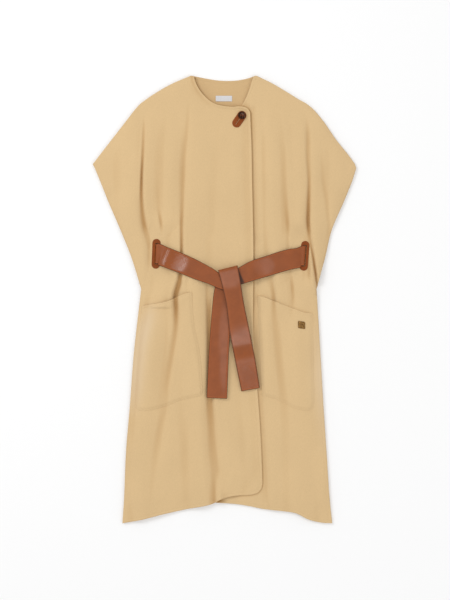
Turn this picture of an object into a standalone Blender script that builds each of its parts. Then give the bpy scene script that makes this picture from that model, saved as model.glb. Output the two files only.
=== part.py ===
"""A long belted wrap coat in camel cashmere, with cape sleeves, laid flat on its back.

A place on the coat is (out, drop) in millimetres: out runs from the centre line towards the wearer's
left, and drop runs down from the top of the shoulders.  Height is in millimetres above the table.
Every panel is a surface worked out from grain lines and ridges, with the cloth's thickness below it.
"""

import functools

import bmesh
import bpy
import numpy as np

MM = 0.001

# The wearer's sides.
RIGHT = -1
LEFT = 1

# Driving sizes, in millimetres.
LENGTH = 1118.0
CLOTH = 2.5
GAP = 0.3
LEATHER = 1.2
BELT_WIDTH = 50.0
BELT_THICK = 2.2
LOFT = 4.0
EDGE_ROUND = 34.0
SLIT_LIFT = 2.5
SLIT_LENGTH = 56.0
SLIT_WIDTH = 7.2
PATCH_LENGTH = 74.0
PATCH_WIDTH = 20.5
BUTTON_WIDTH = 19.5
BUTTON_THICK = 3.4
BUTTONHOLE_GAP = 2.4
LABEL_THICK = 0.8
PLATE_THICK = 1.2
HEM_INSET = 2.0

# Spare height where the belt lies on the folds, and how far its turns run on inside the slits.
BELT_SPARE = 1.1
TURN_TAIL = 7.0

# How far past its own edge each layer stays flat where another one lies on it, and over how much
# ground it then rises to its folds.
OVERLAP_MARGIN = 7.0
OVERLAP_EASE = 26.0
HEM_EASE = 60.0
EDGE_EASE = 40.0
BELT_EASE = 20.0
UNDER_BELT = {RIGHT: 38.0, LEFT: 20.0}
SLIT_GROUND = (
    # way, half reach of the flat ground, ease
    ("outward", 14, 12),
    ("inward", 26, 32),
    ("along", 40, 25),
)

# The reach from the knot's middle over which the straps come up to it, and that of its flat part.
KNOT_REACH = 98.0
KNOT_FLAT = 50.0
BACK_END_FOOT = 668.0

# Points this near to each other, in metres, count as one.
MERGE = 2e-6

# The heights that the layers come to where they lie flat on each other.
ON_BACK = CLOTH + GAP
ON_BELT = ON_BACK + BELT_THICK + GAP
LAYER = CLOTH + GAP

# The drop of the last row before the shoulder, of the foot of the cuffs, and of the first row of the hem.
YOKE_DROP = 135.0
CUFF_FOOT = 533.0
HEM_START = 1000.0

OUTLINE = (
    # place, drop, out on the right, out on the left
    ("shoulder top", 0, 84, 80),
    ("shoulder", 20, 131, 121),
    ("shoulder", 42, 170, 158),
    ("shoulder", 60, 197, 187),
    ("shoulder corner", 70, 210, 205),
    ("shoulder corner", 84, 223, 222),
    ("overarm", 115, 247, 248),
    ("overarm", 160, 282, 279),
    ("overarm", 200, 313, 311),
    ("right sleeve tip", 221, 329, 326),
    ("left sleeve tip", 231, 324, 329),
    ("cuff", 260, 312, 320),
    ("cuff", 315, 290, 298),
    ("cuff", 385, 260, 268),
    ("cuff", 455, 232, 251),
    ("cuff foot", 533, 208, 230),
    ("side", 600, 216, 234),
    ("side", 700, 227, 240),
    ("side", 820, 236, 247),
    ("side", 940, 246, 255),
    ("side", 1060, 251, 263),
    ("hem corner", 1118, 255, 269),
)

NECK_BACK = (
    # out, drop
    (-76, 1),
    (-46, 7),
    (-13, 12),
    (29, 12),
    (60, 6),
    (74, 1),
)

NECK_FRONT = {
    # out, drop
    RIGHT: (
        (-76, 1), (-74, 12), (-64, 33), (-50, 51), (-27, 69), (-8, 75), (18, 78), (42, 77), (57, 82),
        (64, 91),
    ),
    LEFT: ((-60, 84), (20, 84), (39, 77), (47, 68), (54, 54), (61, 37), (69, 12), (74, 1)),
}

HEM_FRONT = {
    # out, drop
    RIGHT: (
        (-255, 1118), (-211, 1110), (-151, 1095), (-91, 1082), (-39, 1072), (-25, 1067), (-14, 1060),
        (6, 1053), (28, 1049), (70, 1046), (84, 1041), (92, 1031), (95, 1019),
    ),
    LEFT: (
        (-60, 1063), (-30, 1066), (28, 1070), (61, 1075), (95, 1082), (149, 1088), (179, 1093), (209, 1108),
        (240, 1116), (269, 1118),
    ),
}

HEM_BACK = (-20, 1068)

# Lines that run down each front: its free edge, the valley of its main fold, and the crease between
# body and sleeve.
GRAIN = {
    # drop, out
    RIGHT: {
        "edge": (
            (60, 64), (110, 66), (260, 69), (400, 72), (720, 76), (790, 83), (900, 90), (1000, 95),
            (1118, 95),
        ),
        "fold": (
            (0, -77), (60, -88), (150, -99), (300, -107), (440, -109), (520, -115), (560, -121),
            (660, -129), (780, -146), (940, -170), (1118, -190),
        ),
        "crease": (
            (60, -197), (110, -202), (235, -207), (300, -209), (352, -204), (385, -194), (420, -189),
            (470, -194), (533, -208),
        ),
    },
    LEFT: {
        "edge": ((60, -60), (1118, -48)),
        "over": ((0, 74), (110, 76), (400, 84), (720, 88), (900, 101), (1118, 108)),
        "fold": (
            (0, 100), (60, 130), (190, 147), (320, 151), (440, 158), (500, 166), (600, 168),
            (820, 159), (1118, 150),
        ),
        "crease": (
            (60, 188), (120, 203), (200, 207), (270, 212), (340, 209), (380, 206), (410, 214),
            (465, 222), (533, 230),
        ),
    },
}

# How the ground between two of these lines is shared out in columns.
COLUMNS = {
    RIGHT: (
        ("edge", "fold", (0, 0.03, 0.10, 0.22, 0.35, 0.48, 0.61, 0.73, 0.84, 0.93)),
        ("fold", "crease", (0, 0.10, 0.24, 0.42, 0.62, 0.80, 0.92, 1)),
    ),
    LEFT: (
        ("edge", "over", (0, 0.50, 0.74, 0.83, 0.91)),
        ("over", "fold", (0, 0.16, 0.34, 0.52, 0.72, 0.90)),
        ("fold", "crease", (0, 0.14, 0.34, 0.56, 0.76, 0.90, 1)),
    ),
}
SLEEVE_COLUMNS = (0, 0.10, 0.28, 0.50, 0.76, 1)
YOKE_ROWS = (0, 0.08, 0.25, 0.50, 0.75)
BODY_ROWS = (
    135, 165, 195, 221, 231, 255, 285, 315, 350, 385, 410, 430, 450, 470, 490, 512, 533, 555, 580, 610,
    650, 700, 750, 795, 840, 890, 945, 1000,
)
HEM_ROWS = (0.35, 0.70, 0.90, 1)

# The folds: soft ridges.  Each has a reach towards the front edge, a reach towards the side, and a crest.
RIDGES = {
    RIGHT: (
        # name, inner reach, outer reach, crest as (drop, out, height)
        ("beside the sleeve", 28, 12, (
            (85, -188, 0), (150, -194, 6), (235, -197, 9), (310, -198, 10), (360, -192, 8), (400, -182, 4),
            (440, -182, 1), (500, -190, 2), (560, -200, 0),
        )),
        ("beside the main fold", 26, 30, (
            (110, -128, 0), (200, -133, 6), (320, -137, 8), (430, -139, 9), (520, -146, 8), (580, -158, 5),
        )),
        ("over the hip", 48, 30, (
            (520, -160, 0), (600, -168, 7), (680, -180, 8), (780, -190, 7), (900, -202, 5), (1010, -206, 4),
            (1118, -206, 5),
        )),
        ("along the main fold", 46, 17, (
            (60, -66, 0), (185, -82, 4), (310, -88, 7), (430, -91, 9), (520, -97, 8), (590, -103, 6),
            (680, -112, 6), (780, -128, 6), (860, -138, 4), (960, -152, 3), (1040, -162, 2), (1118, -170, 3),
        )),
        ("beside the tail fold", 18, 34, (
            (480, -66, 0), (560, -66, 5), (700, -62, 6), (820, -58, 6), (920, -52, 5), (1020, -46, 5),
            (1118, -44, 6),
        )),
        ("under the belt ends", 60, 20, (
            (520, -20, 0), (600, -20, 3), (800, -18, 4), (920, -8, 6), (1020, 3, 7), (1118, 10, 8),
        )),
    ),
    LEFT: (
        ("beside the overlap", 24, 32, (
            (80, 112, 0), (150, 117, 4), (260, 119, 6), (400, 122, 6), (480, 130, 6), (560, 140, 5),
            (620, 145, 0),
        )),
        ("along the fold", 17, 26, (
            (90, 150, 0), (190, 165, 5), (310, 170, 8), (400, 175, 9), (480, 183, 7), (575, 187, 5),
            (640, 190, 0),
        )),
        ("beside the sleeve", 22, 12, (
            (90, 188, 0), (150, 195, 5), (235, 200, 8), (310, 201, 9), (370, 197, 8), (405, 203, 6),
            (440, 210, 3), (500, 217, 3), (560, 222, 0),
        )),
        ("inside the skirt fold", 16, 22, (
            (560, 100, 0), (640, 104, 4), (760, 112, 5), (880, 126, 4), (1000, 126, 3), (1118, 126, 4),
        )),
        ("outside the skirt fold", 34, 48, (
            (570, 152, 0), (640, 162, 5), (760, 176, 6), (880, 186, 5), (1000, 184, 4), (1118, 186, 6),
        )),
        ("on the sleeve, inner", 12, 18, (
            (130, 222, 0), (200, 228, 4), (300, 236, 4), (400, 238, 2), (470, 240, 0),
        )),
        ("on the sleeve, outer", 26, 30, ((150, 262, 0), (230, 280, 4), (320, 272, 3), (400, 258, 0))),
    ),
}

# The two slits that the belt goes in and out by: the middle of each, and how far its top leans to the left.
SLITS = {
    RIGHT: (-170.5, 445.0, 1.0),
    LEFT: (199.5, 450.0, 2.0),
}

INNER_BELT = ((-160, 448, 50), (-100, 462, 50), (0, 492, 50), (90, 480, 50), (188, 452, 50))

STRAPS = {
    # out, drop, width as seen
    RIGHT: ((-140, 457, 50), (-96, 474, 48), (-58, 491, 44), (-30, 504, 38), (-14, 514, 33), (19, 526, 32)),
    LEFT: (
        (176, 456, 51), (151, 462, 51), (109, 475, 50), (74, 486, 49), (44, 499, 42), (20, 510, 34),
        (-6, 517, 32),
    ),
}
BACK_END = ((1, 512, 40), (-2, 535, 46), (-6, 600, 49), (-10, 672, 49), (-17, 805, 50))
FRONT_END = (
    (8, 480, 50), (14, 505, 48), (19, 530, 46), (25, 562, 44), (36, 630, 49), (52, 712, 50), (65, 784, 47),
)
KNOT = (9.0, 500.0)

POCKETS = {
    # out, drop
    RIGHT: (
        (-206, 575), (-136, 561), (-114, 550), (-96, 543), (-81, 541), (-74, 625), (-61, 690), (-54, 770),
        (-53, 790), (-59, 800), (-111, 812), (-141, 824), (-166, 832), (-200, 837), (-219, 834), (-224, 824),
        (-217, 690),
    ),
    LEFT: (
        (82, 549), (96, 552), (121, 562), (171, 581), (200, 591), (221, 593), (225, 815), (222, 829),
        (210, 837), (196, 836), (171, 830), (133, 810), (100, 801), (92, 799),
    ),
}

BUTTONHOLE = ((43.5, 99.5), (30.5, 118.5))
BUTTONHOLE_WIDTH = 20.0
LABEL = ((-22, 50), (19, 50), (19, 64), (-22, 64))
PLATE = ((183, 612), (201, 615), (201, 633), (183, 630))


def place(out, drop, height):
    """World points, in metres, of places on the coat."""
    out, drop, height = np.broadcast_arrays(np.asarray(out, float), drop, height)
    return np.stack([out, LENGTH / 2 - drop, height], axis=-1) * MM


def smooth(share):
    share = np.clip(share, 0, 1)
    return share * share * (3 - 2 * share)


def curve(rows, at, column=1):
    """A smooth line through a table's rows, read at a value of its first column."""
    table = np.array(rows, float)
    known, value = table[:, 0], table[:, column]
    slope = np.gradient(value, known)
    at = np.clip(at, known[0], known[-1])
    row = np.clip(np.searchsorted(known, at, side="right") - 1, 0, len(known) - 2)
    step = known[row + 1] - known[row]
    t = (at - known[row]) / step
    start = (1 + 2 * t) * (1 - t) ** 2 * value[row] + t * (1 - t) ** 2 * step * slope[row]
    end = t * t * (3 - 2 * t) * value[row + 1] - t * t * (1 - t) * step * slope[row + 1]
    return start + end


def outline(side, drop):
    rows = [(row[1], row[2] if side == RIGHT else row[3]) for row in OUTLINE]
    drops, outs = np.array(rows, float).T
    return side * np.interp(drop, drops, outs)


def grain(side, name, drop):
    """How far out a grain line is at a drop.  Below the cuff, the crease is the side seam."""
    line = curve(GRAIN[side][name], drop)
    if name != "crease":
        return line
    return np.where(np.asarray(drop) > CUFF_FOOT, outline(side, drop), line)


def top_edge(side, out):
    """The drop of the front's upper edge: the neckline and the shoulder."""
    shoulder = [(side * (row[2] if side == RIGHT else row[3]), row[1]) for row in OUTLINE[:6]]
    rows = sorted(shoulder + list(NECK_FRONT[side]))
    outs, drops = np.array(rows, float).T
    return np.interp(out, outs, drops)


def hem_edge(side, out):
    outs, drops = np.array(HEM_FRONT[side], float).T
    return np.interp(out, outs, drops)


def to_path(rows, out, drop):
    """How far places lie from a path that runs across the coat."""
    points = np.array(rows, float)[:, :2]
    spot = np.stack(np.broadcast_arrays(np.asarray(out, float), drop), axis=-1)
    nearest = np.full(spot.shape[:-1], np.inf)
    for start, end in zip(points[:-1], points[1:]):
        along = end - start
        share = np.clip((spot - start) @ along / (along @ along), 0, 1)
        nearest = np.minimum(nearest, np.linalg.norm(spot - start - share[..., None] * along, axis=-1))
    return nearest


def belt_rise(out, drop, spare):
    """How far the hidden stretch of belt pushes up what lies over it."""
    away = to_path(INNER_BELT, out, drop) - BELT_WIDTH / 2 - spare
    return (BELT_THICK + GAP) * (1 - smooth(away / BELT_EASE))


def ridges(side, out, drop):
    total = np.zeros(np.broadcast(out, drop).shape)
    for _, inner, outer, crest in RIDGES[side]:
        away = (out - curve(crest, drop)) * side
        start, end = crest[0][0], crest[-1][0]
        tall = np.where((drop >= start) & (drop <= end), curve(crest, drop, 2), 0)
        share = np.clip(np.abs(away) / np.where(away > 0, outer, inner), 0, 1)
        total = total + np.maximum(tall, 0) * (1 - share * share) ** 2
    return total


def seam_share(side, out, drop):
    """0 at the shoulder, overarm and side seams, and 1 away from them."""
    across = np.abs(outline(side, drop)) - out * side
    on_shoulder = np.abs(out) > OUTLINE[0][2] - 6
    down = np.where(on_shoulder, (drop - top_edge(side, out)) * 1.2, EDGE_ROUND)
    near = np.clip(np.minimum(across, down) / EDGE_ROUND, 0, 1)
    return np.sqrt(near * (2 - near))


def under_overlap(out, drop):
    """0 where the left front lies under the right one, and 1 clear of it."""
    beside = out - grain(RIGHT, "edge", drop)
    above = top_edge(RIGHT, out) - drop
    return smooth((np.maximum(beside, above) - OVERLAP_MARGIN) / OVERLAP_EASE)


def slit_share(side, out, drop):
    """1 on the flat ground round a slit."""
    middle, level, _ = SLITS[side]
    away = (out - middle) * side
    reaches = (away, -away, np.abs(drop - level))
    share = [(reach - flat) / ease for reach, (_, flat, ease) in zip(reaches, SLIT_GROUND)]
    return 1 - smooth(np.maximum.reduce(share))


def soft_over(floor, height, ease=1.5):
    """The higher of two heights, with a soft change from one to the other."""
    above = height - floor
    eased = np.where(above > ease, above, (np.maximum(above, -ease) + ease) ** 2 / (4 * ease))
    return floor + eased


def rest_left(out, drop):
    """Height of the underside of the left front."""
    floor = ON_BACK + belt_rise(out, drop, UNDER_BELT[LEFT])
    share = under_overlap(out, drop) * seam_share(LEFT, out, drop)
    near_hem = smooth((hem_edge(LEFT, out) - drop) / HEM_EASE)
    lift = (LOFT * near_hem + ridges(LEFT, out, drop)) * share
    free = np.where(lift > 0, soft_over(floor, ON_BACK + lift), floor)
    level = slit_share(LEFT, out, drop)
    return free * (1 - level) + (ON_BELT + SLIT_LIFT) * level


def rest_right(out, drop):
    """Height of the underside of the right front, which lies over the left one."""
    over_left = smooth((out - grain(LEFT, "edge", drop) + EDGE_EASE) / BELT_EASE)
    floor = ON_BACK + belt_rise(out, drop, UNDER_BELT[RIGHT]) + LAYER * over_left
    near_hem = smooth((hem_edge(RIGHT, out) - drop) / HEM_EASE)
    near_edge = smooth((grain(RIGHT, "edge", drop) - out) / EDGE_EASE)
    share = seam_share(RIGHT, out, drop)
    lift = (LOFT * near_hem * near_edge + ridges(RIGHT, out, drop)) * share
    free = soft_over(floor, ON_BACK + lift)
    level = slit_share(RIGHT, out, drop)
    return free * (1 - level) + (ON_BELT + SLIT_LIFT) * level


REST = {RIGHT: rest_right, LEFT: rest_left}


def meet(side, edge, line, start):
    """The drop where a grain line, given as a function of drop, meets an edge."""
    drop = start
    for _ in range(40):
        drop = float(edge(side, line(drop)))
    return drop


def grain_lines(side):
    """The columns of a front's body, from its free edge to its side, as functions of drop."""
    return [
        functools.partial(between, side, first, second, share)
        for first, second, shares in COLUMNS[side]
        for share in shares
    ]


def between(side, first, second, share, drop):
    """How far out a column is that lies a share of the way from one grain line to another."""
    return (1 - share) * grain(side, first, drop) + share * grain(side, second, drop)


def column_places(side, line):
    top = meet(side, top_edge, line, YOKE_DROP)
    hem = meet(side, hem_edge, line, LENGTH)
    drops = [top + share * (YOKE_DROP - top) for share in YOKE_ROWS]
    drops += BODY_ROWS
    drops += [HEM_START + share * (hem - HEM_START) for share in HEM_ROWS]
    return [(float(line(drop)), drop) for drop in drops]


def sleeve_places(side, crease):
    """A row of places across the sleeve from each place on its crease."""
    rows = []
    for out, drop in crease:
        if drop <= CUFF_FOOT:
            far = float(outline(side, drop))
            rows.append([(out + share * (far - out), drop) for share in SLEEVE_COLUMNS])
    return rows


class Surface:
    """Places joined by triangles, seen from above."""

    def __init__(self):
        self.index = {}
        self.spots = []
        self.faces = []

    def spot(self, where):
        key = (round(where[0], 3), round(where[1], 3))
        if key not in self.index:
            self.index[key] = len(self.spots)
            self.spots.append(where)
        return self.index[key]

    def add_cell(self, corners, height):
        """Two triangles, split along the more level diagonal."""
        a, b, c, d = [self.spot(corner) for corner in corners]
        rise = [float(height(*corner)) for corner in corners]
        level = abs(rise[0] - rise[2]) <= abs(rise[1] - rise[3])
        pair = ((a, b, c), (a, c, d)) if level else ((a, b, d), (b, c, d))
        self.faces += [face for face in pair if len(set(face)) == 3]

    def add_grid(self, rows, height):
        for upper, lower in zip(rows[:-1], rows[1:]):
            for n in range(len(upper) - 1):
                self.add_cell((upper[n], lower[n], lower[n + 1], upper[n + 1]), height)


def front_surface(side):
    """The upper side of a front, as world points and triangles."""
    height = REST[side]
    columns = [column_places(side, line) for line in grain_lines(side)]
    surface = Surface()
    surface.add_grid([list(row) for row in zip(*columns)], height)
    surface.add_grid(sleeve_places(side, columns[-1]), height)
    outs, drops = np.array(surface.spots, float).T
    return place(outs, drops, height(outs, drops) + CLOTH), facing_up(place(outs, drops, 0), surface.faces)


def facing_up(points, faces):
    turned = []
    for face in faces:
        a, b, c = points[list(face)][:, :2]
        area = (b[0] - a[0]) * (c[1] - a[1]) - (b[1] - a[1]) * (c[0] - a[0])
        turned.append(tuple(face) if area > 0 else tuple(face)[::-1])
    return turned


def inside(point, border):
    """Whether a point lies within a closed border, in plan."""
    x, y = point[0], point[1]
    odd = False
    for (ax, ay), (bx, by) in zip(border, np.roll(border, -1, axis=0)):
        if (ay > y) != (by > y) and x < ax + (y - ay) / (by - ay) * (bx - ax):
            odd = not odd
    return odd


def near_faces(mesh, start, end):
    low = np.minimum(start, end) - 0.0005
    high = np.maximum(start, end) + 0.0005
    found = []
    for face in mesh.faces:
        flat = np.array([vert.co[:2] for vert in face.verts])
        if (flat.max(axis=0) >= low).all() and (flat.min(axis=0) <= high).all():
            found.append(face)
    return found


def trim(surface, border, keep_inside=True):
    """The part of a surface inside a border of places on the coat, or outside it."""
    points, faces = surface
    border = place([spot[0] for spot in border], [spot[1] for spot in border], 0)[:, :2]
    mesh = bmesh.new()
    verts = [mesh.verts.new(point) for point in points]
    for face in faces:
        mesh.faces.new([verts[n] for n in face])
    for start, end in zip(border, np.roll(border, -1, axis=0)):
        cut = near_faces(mesh, start, end)
        edges = {edge for face in cut for edge in face.edges}
        verts = {vert for face in cut for vert in face.verts}
        across = (end[1] - start[1], start[0] - end[0], 0)
        bmesh.ops.bisect_plane(
            mesh, geom=[*cut, *edges, *verts], dist=MERGE, plane_co=(*start, 0), plane_no=across
        )
    drop_faces = [face for face in mesh.faces if inside(face.calc_center_median(), border) != keep_inside]
    bmesh.ops.delete(mesh, geom=drop_faces, context="FACES")
    bmesh.ops.triangulate(mesh, faces=mesh.faces[:])
    bmesh.ops.dissolve_degenerate(mesh, edges=mesh.edges[:], dist=MERGE)
    mesh.verts.index_update()
    points = np.array([vert.co[:] for vert in mesh.verts])
    faces = [tuple(vert.index for vert in face.verts) for face in mesh.faces]
    mesh.free()
    return points, facing_up(points, faces)


def raised(surface, height):
    points, faces = surface
    return points + np.array((0, 0, height * MM)), faces


def solid(name, surface, thickness, material):
    """A node: a surface with its thickness straight below it."""
    points, faces = surface
    count = len(points)
    below = points - np.array((0, 0, thickness * MM))
    edges = {(face[n], face[(n + 1) % len(face)]) for face in faces for n in range(len(face))}
    rim = [(b, a, a + count, b + count) for a, b in edges if (b, a) not in edges]
    under = [tuple(n + count for n in reversed(face)) for face in faces]
    mesh = bpy.data.meshes.new(name)
    mesh.from_pydata(np.vstack([points, below]).tolist(), [], faces + under + sorted(rim))
    return finish(name, mesh, material)


def finish(name, mesh, material):
    """Merges flat neighbours, turns the faces outward and puts the node in the scene."""
    work = bmesh.new()
    work.from_mesh(mesh)
    bmesh.ops.dissolve_limit(work, angle_limit=0.0006, verts=work.verts[:], edges=work.edges[:])
    bmesh.ops.triangulate(work, faces=work.faces[:])
    bmesh.ops.recalc_face_normals(work, faces=work.faces[:])
    work.to_mesh(mesh)
    work.free()
    mesh.materials.append(material)
    node = bpy.data.objects.new(name, mesh)
    bpy.context.scene.collection.objects.link(node)
    return node


def make_material(name, colour, roughness, metallic=0.0):
    material = bpy.data.materials.new(name)
    material.use_nodes = True
    shader = material.node_tree.nodes["Principled BSDF"]
    shader.inputs["Base Color"].default_value = (*colour, 1.0)
    shader.inputs["Roughness"].default_value = roughness
    shader.inputs["Metallic"].default_value = metallic
    material.diffuse_color = (*colour, 1.0)
    return material


def flat_surface(places, height):
    """A level surface with one border."""
    outs, drops = np.array(places, float).T
    points = place(outs, drops, height)
    turn = np.sum(points[:, 0] * np.roll(points[:, 1], -1) - np.roll(points[:, 0], -1) * points[:, 1])
    ring = range(len(points)) if turn > 0 else range(len(points) - 1, -1, -1)
    return points, [tuple(ring)]


def stadium(start, end, width, steps=10):
    """A border with two straight sides and two round ends, its ends' centres given."""
    start, end = np.array(start, float), np.array(end, float)
    along = (end - start) / np.linalg.norm(end - start)
    side = np.array((-along[1], along[0]))
    ring = []
    for centre, forward in ((end, along), (start, -along)):
        for n in range(steps + 1):
            angle = np.pi * n / steps - np.pi / 2
            across = side if forward is along else -side
            ring.append(tuple(centre + width / 2 * (np.cos(angle) * forward + np.sin(angle) * across)))
    return ring


def slit_ends(side, length):
    middle, level, lean = SLITS[side]
    half = length / 2
    return (middle + lean, level - half), (middle - lean, level + half)


def slit_border(side):
    """The opening of a slit: its inner lip is at the middle of the belt's turn."""
    top, foot = slit_ends(side, SLIT_LENGTH)
    half = SLIT_WIDTH / 2
    across = ((top, -half), (top, half), (foot, half), (foot, -half))
    return [(end[0] + shift, end[1]) for end, shift in across]


def buttonhole_border():
    """The buttonhole, cut along the lower half of its patch."""
    start, end = np.array(BUTTONHOLE, float)
    along = (end - start) / np.linalg.norm(end - start)
    across = np.array((-along[1], along[0])) * BUTTONHOLE_GAP / 2
    low, high = end + along * 4, end - along * 16
    return [tuple(low + across), tuple(high + across), tuple(high - across), tuple(low - across)]


def back_places():
    """The outline of the back, from the neck round by the wearer's left.

    Its hem stays hidden under those of the fronts.
    """
    drops = [row[1] for row in OUTLINE[:-1]]
    left = [(float(outline(LEFT, drop)), drop) for drop in drops]
    right = [(float(outline(RIGHT, drop)), drop) for drop in reversed(drops)]
    hem = [spot for spot in HEM_FRONT[LEFT] if spot[0] > 28] + [HEM_BACK]
    hem += [spot for spot in HEM_FRONT[RIGHT] if spot[0] < -30]
    hem = [(out, drop - HEM_INSET) for out, drop in sorted(hem, reverse=True)]
    return list(NECK_BACK) + left + hem + right


def coat_top(out, drop):
    """Height of the upper side of the fronts, wherever one of them lies."""
    over = out <= grain(RIGHT, "edge", drop) + 3
    height = np.where(over, rest_right(out, drop), rest_left(out, drop))
    return np.maximum(height, rest_left(out, drop) * (out > 60)) + CLOTH


def plan_path(rows, count):
    """Evenly spread stations along a path, as (out, drop, width)."""
    table = np.array(rows, float)
    steps = np.linalg.norm(np.diff(table[:, :2], axis=0), axis=1)
    reach = np.concatenate([[0], np.cumsum(steps)])
    at = np.linspace(0, reach[-1], count)
    return np.stack([curve(np.column_stack([reach, table[:, n]]), at) for n in range(3)], axis=1)


def across_path(stations):
    """The unit direction across a path in plan, to the wearer's left of its way down or along."""
    along = np.gradient(stations[:, :2], axis=0)
    along = along / np.linalg.norm(along, axis=1)[:, None]
    return np.stack([-along[:, 1], along[:, 0]], axis=1)


def lie_heights(stations, spare, others=None):
    """The height at which a ribbon along these stations lies on the coat without touching it."""
    across = across_path(stations)
    shares = np.linspace(-0.5, 0.5, 9)
    outs = stations[:, 0:1] + across[:, 0:1] * stations[:, 2:3] * shares
    drops = stations[:, 1:2] + across[:, 1:2] * stations[:, 2:3] * shares
    need = coat_top(outs, drops).max(axis=1)
    if others is not None:
        need = np.maximum(need, others)
    wide = np.maximum.reduce([np.roll(np.pad(need, 2, mode="edge"), n)[2:-2] for n in (-2, -1, 0, 1, 2)])
    eased = np.convolve(np.pad(wide, 1, mode="edge"), (0.25, 0.5, 0.25), mode="valid")
    return eased + GAP + spare


def ribbon(name, centres, across, widths, material):
    """A belt stretch: a strip swept through centre points, with its width direction at each."""
    centres, across = np.array(centres, float), np.array(across, float)
    along = np.gradient(centres, axis=0)
    facing = np.cross(across, along)
    facing = facing / np.linalg.norm(facing, axis=1)[:, None]
    half = across * (np.array(widths) / 2)[:, None]
    deep = facing * BELT_THICK / 2
    corners = (half + deep, deep - half, -half - deep, half - deep)
    rings = np.stack([centres + corner for corner in corners], axis=1)
    count = len(centres)
    faces = [(0, 1, 2, 3), tuple(4 * (count - 1) + n for n in (3, 2, 1, 0))]
    for n in range(count - 1):
        for k in range(4):
            a, b = 4 * n + k, 4 * n + (k + 1) % 4
            faces.append((a, a + 4, b + 4, b))
    mesh = bpy.data.meshes.new(name)
    mesh.from_pydata((rings.reshape(-1, 3) * MM).tolist(), [], faces)
    return finish(name, mesh, material)


def to_world(out, drop, height):
    return np.array((out, LENGTH / 2 - drop, height))


def slit_turn(side):
    """The belt's turn through a slit, from its run on top to its run inside.

    Returns the centres, the direction across the belt at each, and the height of the run on top.
    """
    middle, level, lean = SLITS[side]
    low = ON_BACK + BELT_THICK / 2
    high = ON_BELT + SLIT_LIFT + CLOTH + GAP + LEATHER + GAP + BELT_THICK / 2
    radius = (high - low) / 2
    lip = middle - side * SLIT_WIDTH / 2
    centres = [to_world(lip - side * reach, level, high) for reach in (10, 3)]
    for n in range(9):
        angle = np.pi * n / 8
        height = (high + low) / 2 + radius * np.cos(angle)
        centres.append(to_world(lip + side * radius * np.sin(angle), level, height))
    centres += [to_world(lip - side * reach, level, low) for reach in (3, TURN_TAIL)]
    return centres, [slit_direction(side)] * len(centres), high


def slit_direction(side):
    lean = SLITS[side][2]
    return np.array((2 * lean, SLIT_LENGTH, 0)) / np.hypot(2 * lean, SLIT_LENGTH)


def strap(side, level, material):
    """The belt from the knot, where it lies at a level, to a slit, through it and a little way inside."""
    stations = plan_path(STRAPS[side], 12)
    turn, slit_across, high = slit_turn(side)
    near_slit = smooth((50 - np.abs(stations[:, 0] - SLITS[side][0])) / 25)
    near_knot = smooth((KNOT_REACH - np.abs(stations[:, 0] - KNOT[0])) / (KNOT_REACH - KNOT_FLAT))
    heights = lie_heights(stations, BELT_SPARE) + BELT_THICK / 2
    heights = np.maximum(heights, high * near_slit)
    heights = heights * (1 - near_knot) + (level + BELT_THICK / 2) * near_knot
    across = upward(world_across(stations))
    centres = [to_world(*spot) for spot in zip(stations[:, 0], stations[:, 1], heights)][::-1]
    widths = list(stations[::-1, 2]) + [BELT_WIDTH] * len(turn)
    name = "belt_strap_right" if side == RIGHT else "belt_strap_left"
    return ribbon(name, centres + turn, list(across[::-1]) + slit_across, widths, material)


def world_across(stations):
    across = across_path(stations)
    return np.stack([across[:, 0], -across[:, 1], np.zeros(len(across))], axis=1)


def upward(ways):
    return ways * np.where(ways[:, 1:2] < 0, -1, 1)


def inner_belt(material):
    """The stretch inside the coat, which meets both turns end to end."""
    stations = plan_path(INNER_BELT, 14)
    for n, side in ((0, RIGHT), (-1, LEFT)):
        middle, level, _ = SLITS[side]
        stations[n, :2] = middle - side * (SLIT_WIDTH / 2 + TURN_TAIL + GAP), level
    across = upward(world_across(stations))
    across[0], across[-1] = slit_direction(RIGHT), slit_direction(LEFT)
    centres = [to_world(out, drop, ON_BACK + BELT_THICK / 2) for out, drop, _ in stations]
    return ribbon("belt_inner", centres, across, [BELT_WIDTH] * len(centres), material)


def back_end(material):
    """The end that hangs out from behind the knot.  Returns the heights of its upper side, by drop."""
    stations = plan_path(BACK_END, 14)
    heights = lie_heights(stations, BELT_SPARE)
    across = world_across(stations)
    centres = [to_world(*spot) for spot in zip(stations[:, 0], stations[:, 1], heights + BELT_THICK / 2)]
    ribbon("belt_end_back", centres, across, stations[:, 2], material)
    return stations[:, 1], heights + BELT_THICK


def front_end(low, high, below, material):
    """The end that turns over the knot and hangs in front.

    It starts with a short return behind the knot, and goes round the top and down.
    """
    stations = plan_path(FRONT_END, 20)
    drops, tops = below
    others = np.where(stations[:, 1] < BACK_END_FOOT, np.interp(stations[:, 1], drops, tops), 0)
    heights = lie_heights(stations, BELT_SPARE, others)
    on_knot = 1 - smooth((stations[:, 1] - 545) / 75)
    heights = np.maximum(heights, heights * (1 - on_knot) + high * on_knot) + BELT_THICK / 2
    across = world_across(stations)
    start, down = stations[0, :2], stations[1, :2] - stations[0, :2]
    down = down / np.linalg.norm(down)
    radius = (high - low) / 2
    middle = low + radius + BELT_THICK / 2
    hub = start + down * (radius + BELT_THICK / 2)
    turn = [to_world(*(hub + down * reach), middle - radius) for reach in (16, 8, 2)]
    for n in range(9):
        angle = np.pi * (1 - n / 8)
        turn.append(to_world(*(hub - down * radius * np.sin(angle)), middle + radius * np.cos(angle)))
    keep = stations[:, 1] > hub[1] + 3
    centres = turn + [to_world(*spot) for spot in zip(stations[keep, 0], stations[keep, 1], heights[keep])]
    ways = [across[0]] * len(turn) + list(across[keep])
    widths = [stations[0, 2]] * len(turn) + list(stations[keep, 2])
    return ribbon("belt_end_front", centres, ways, widths, material)


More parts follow.
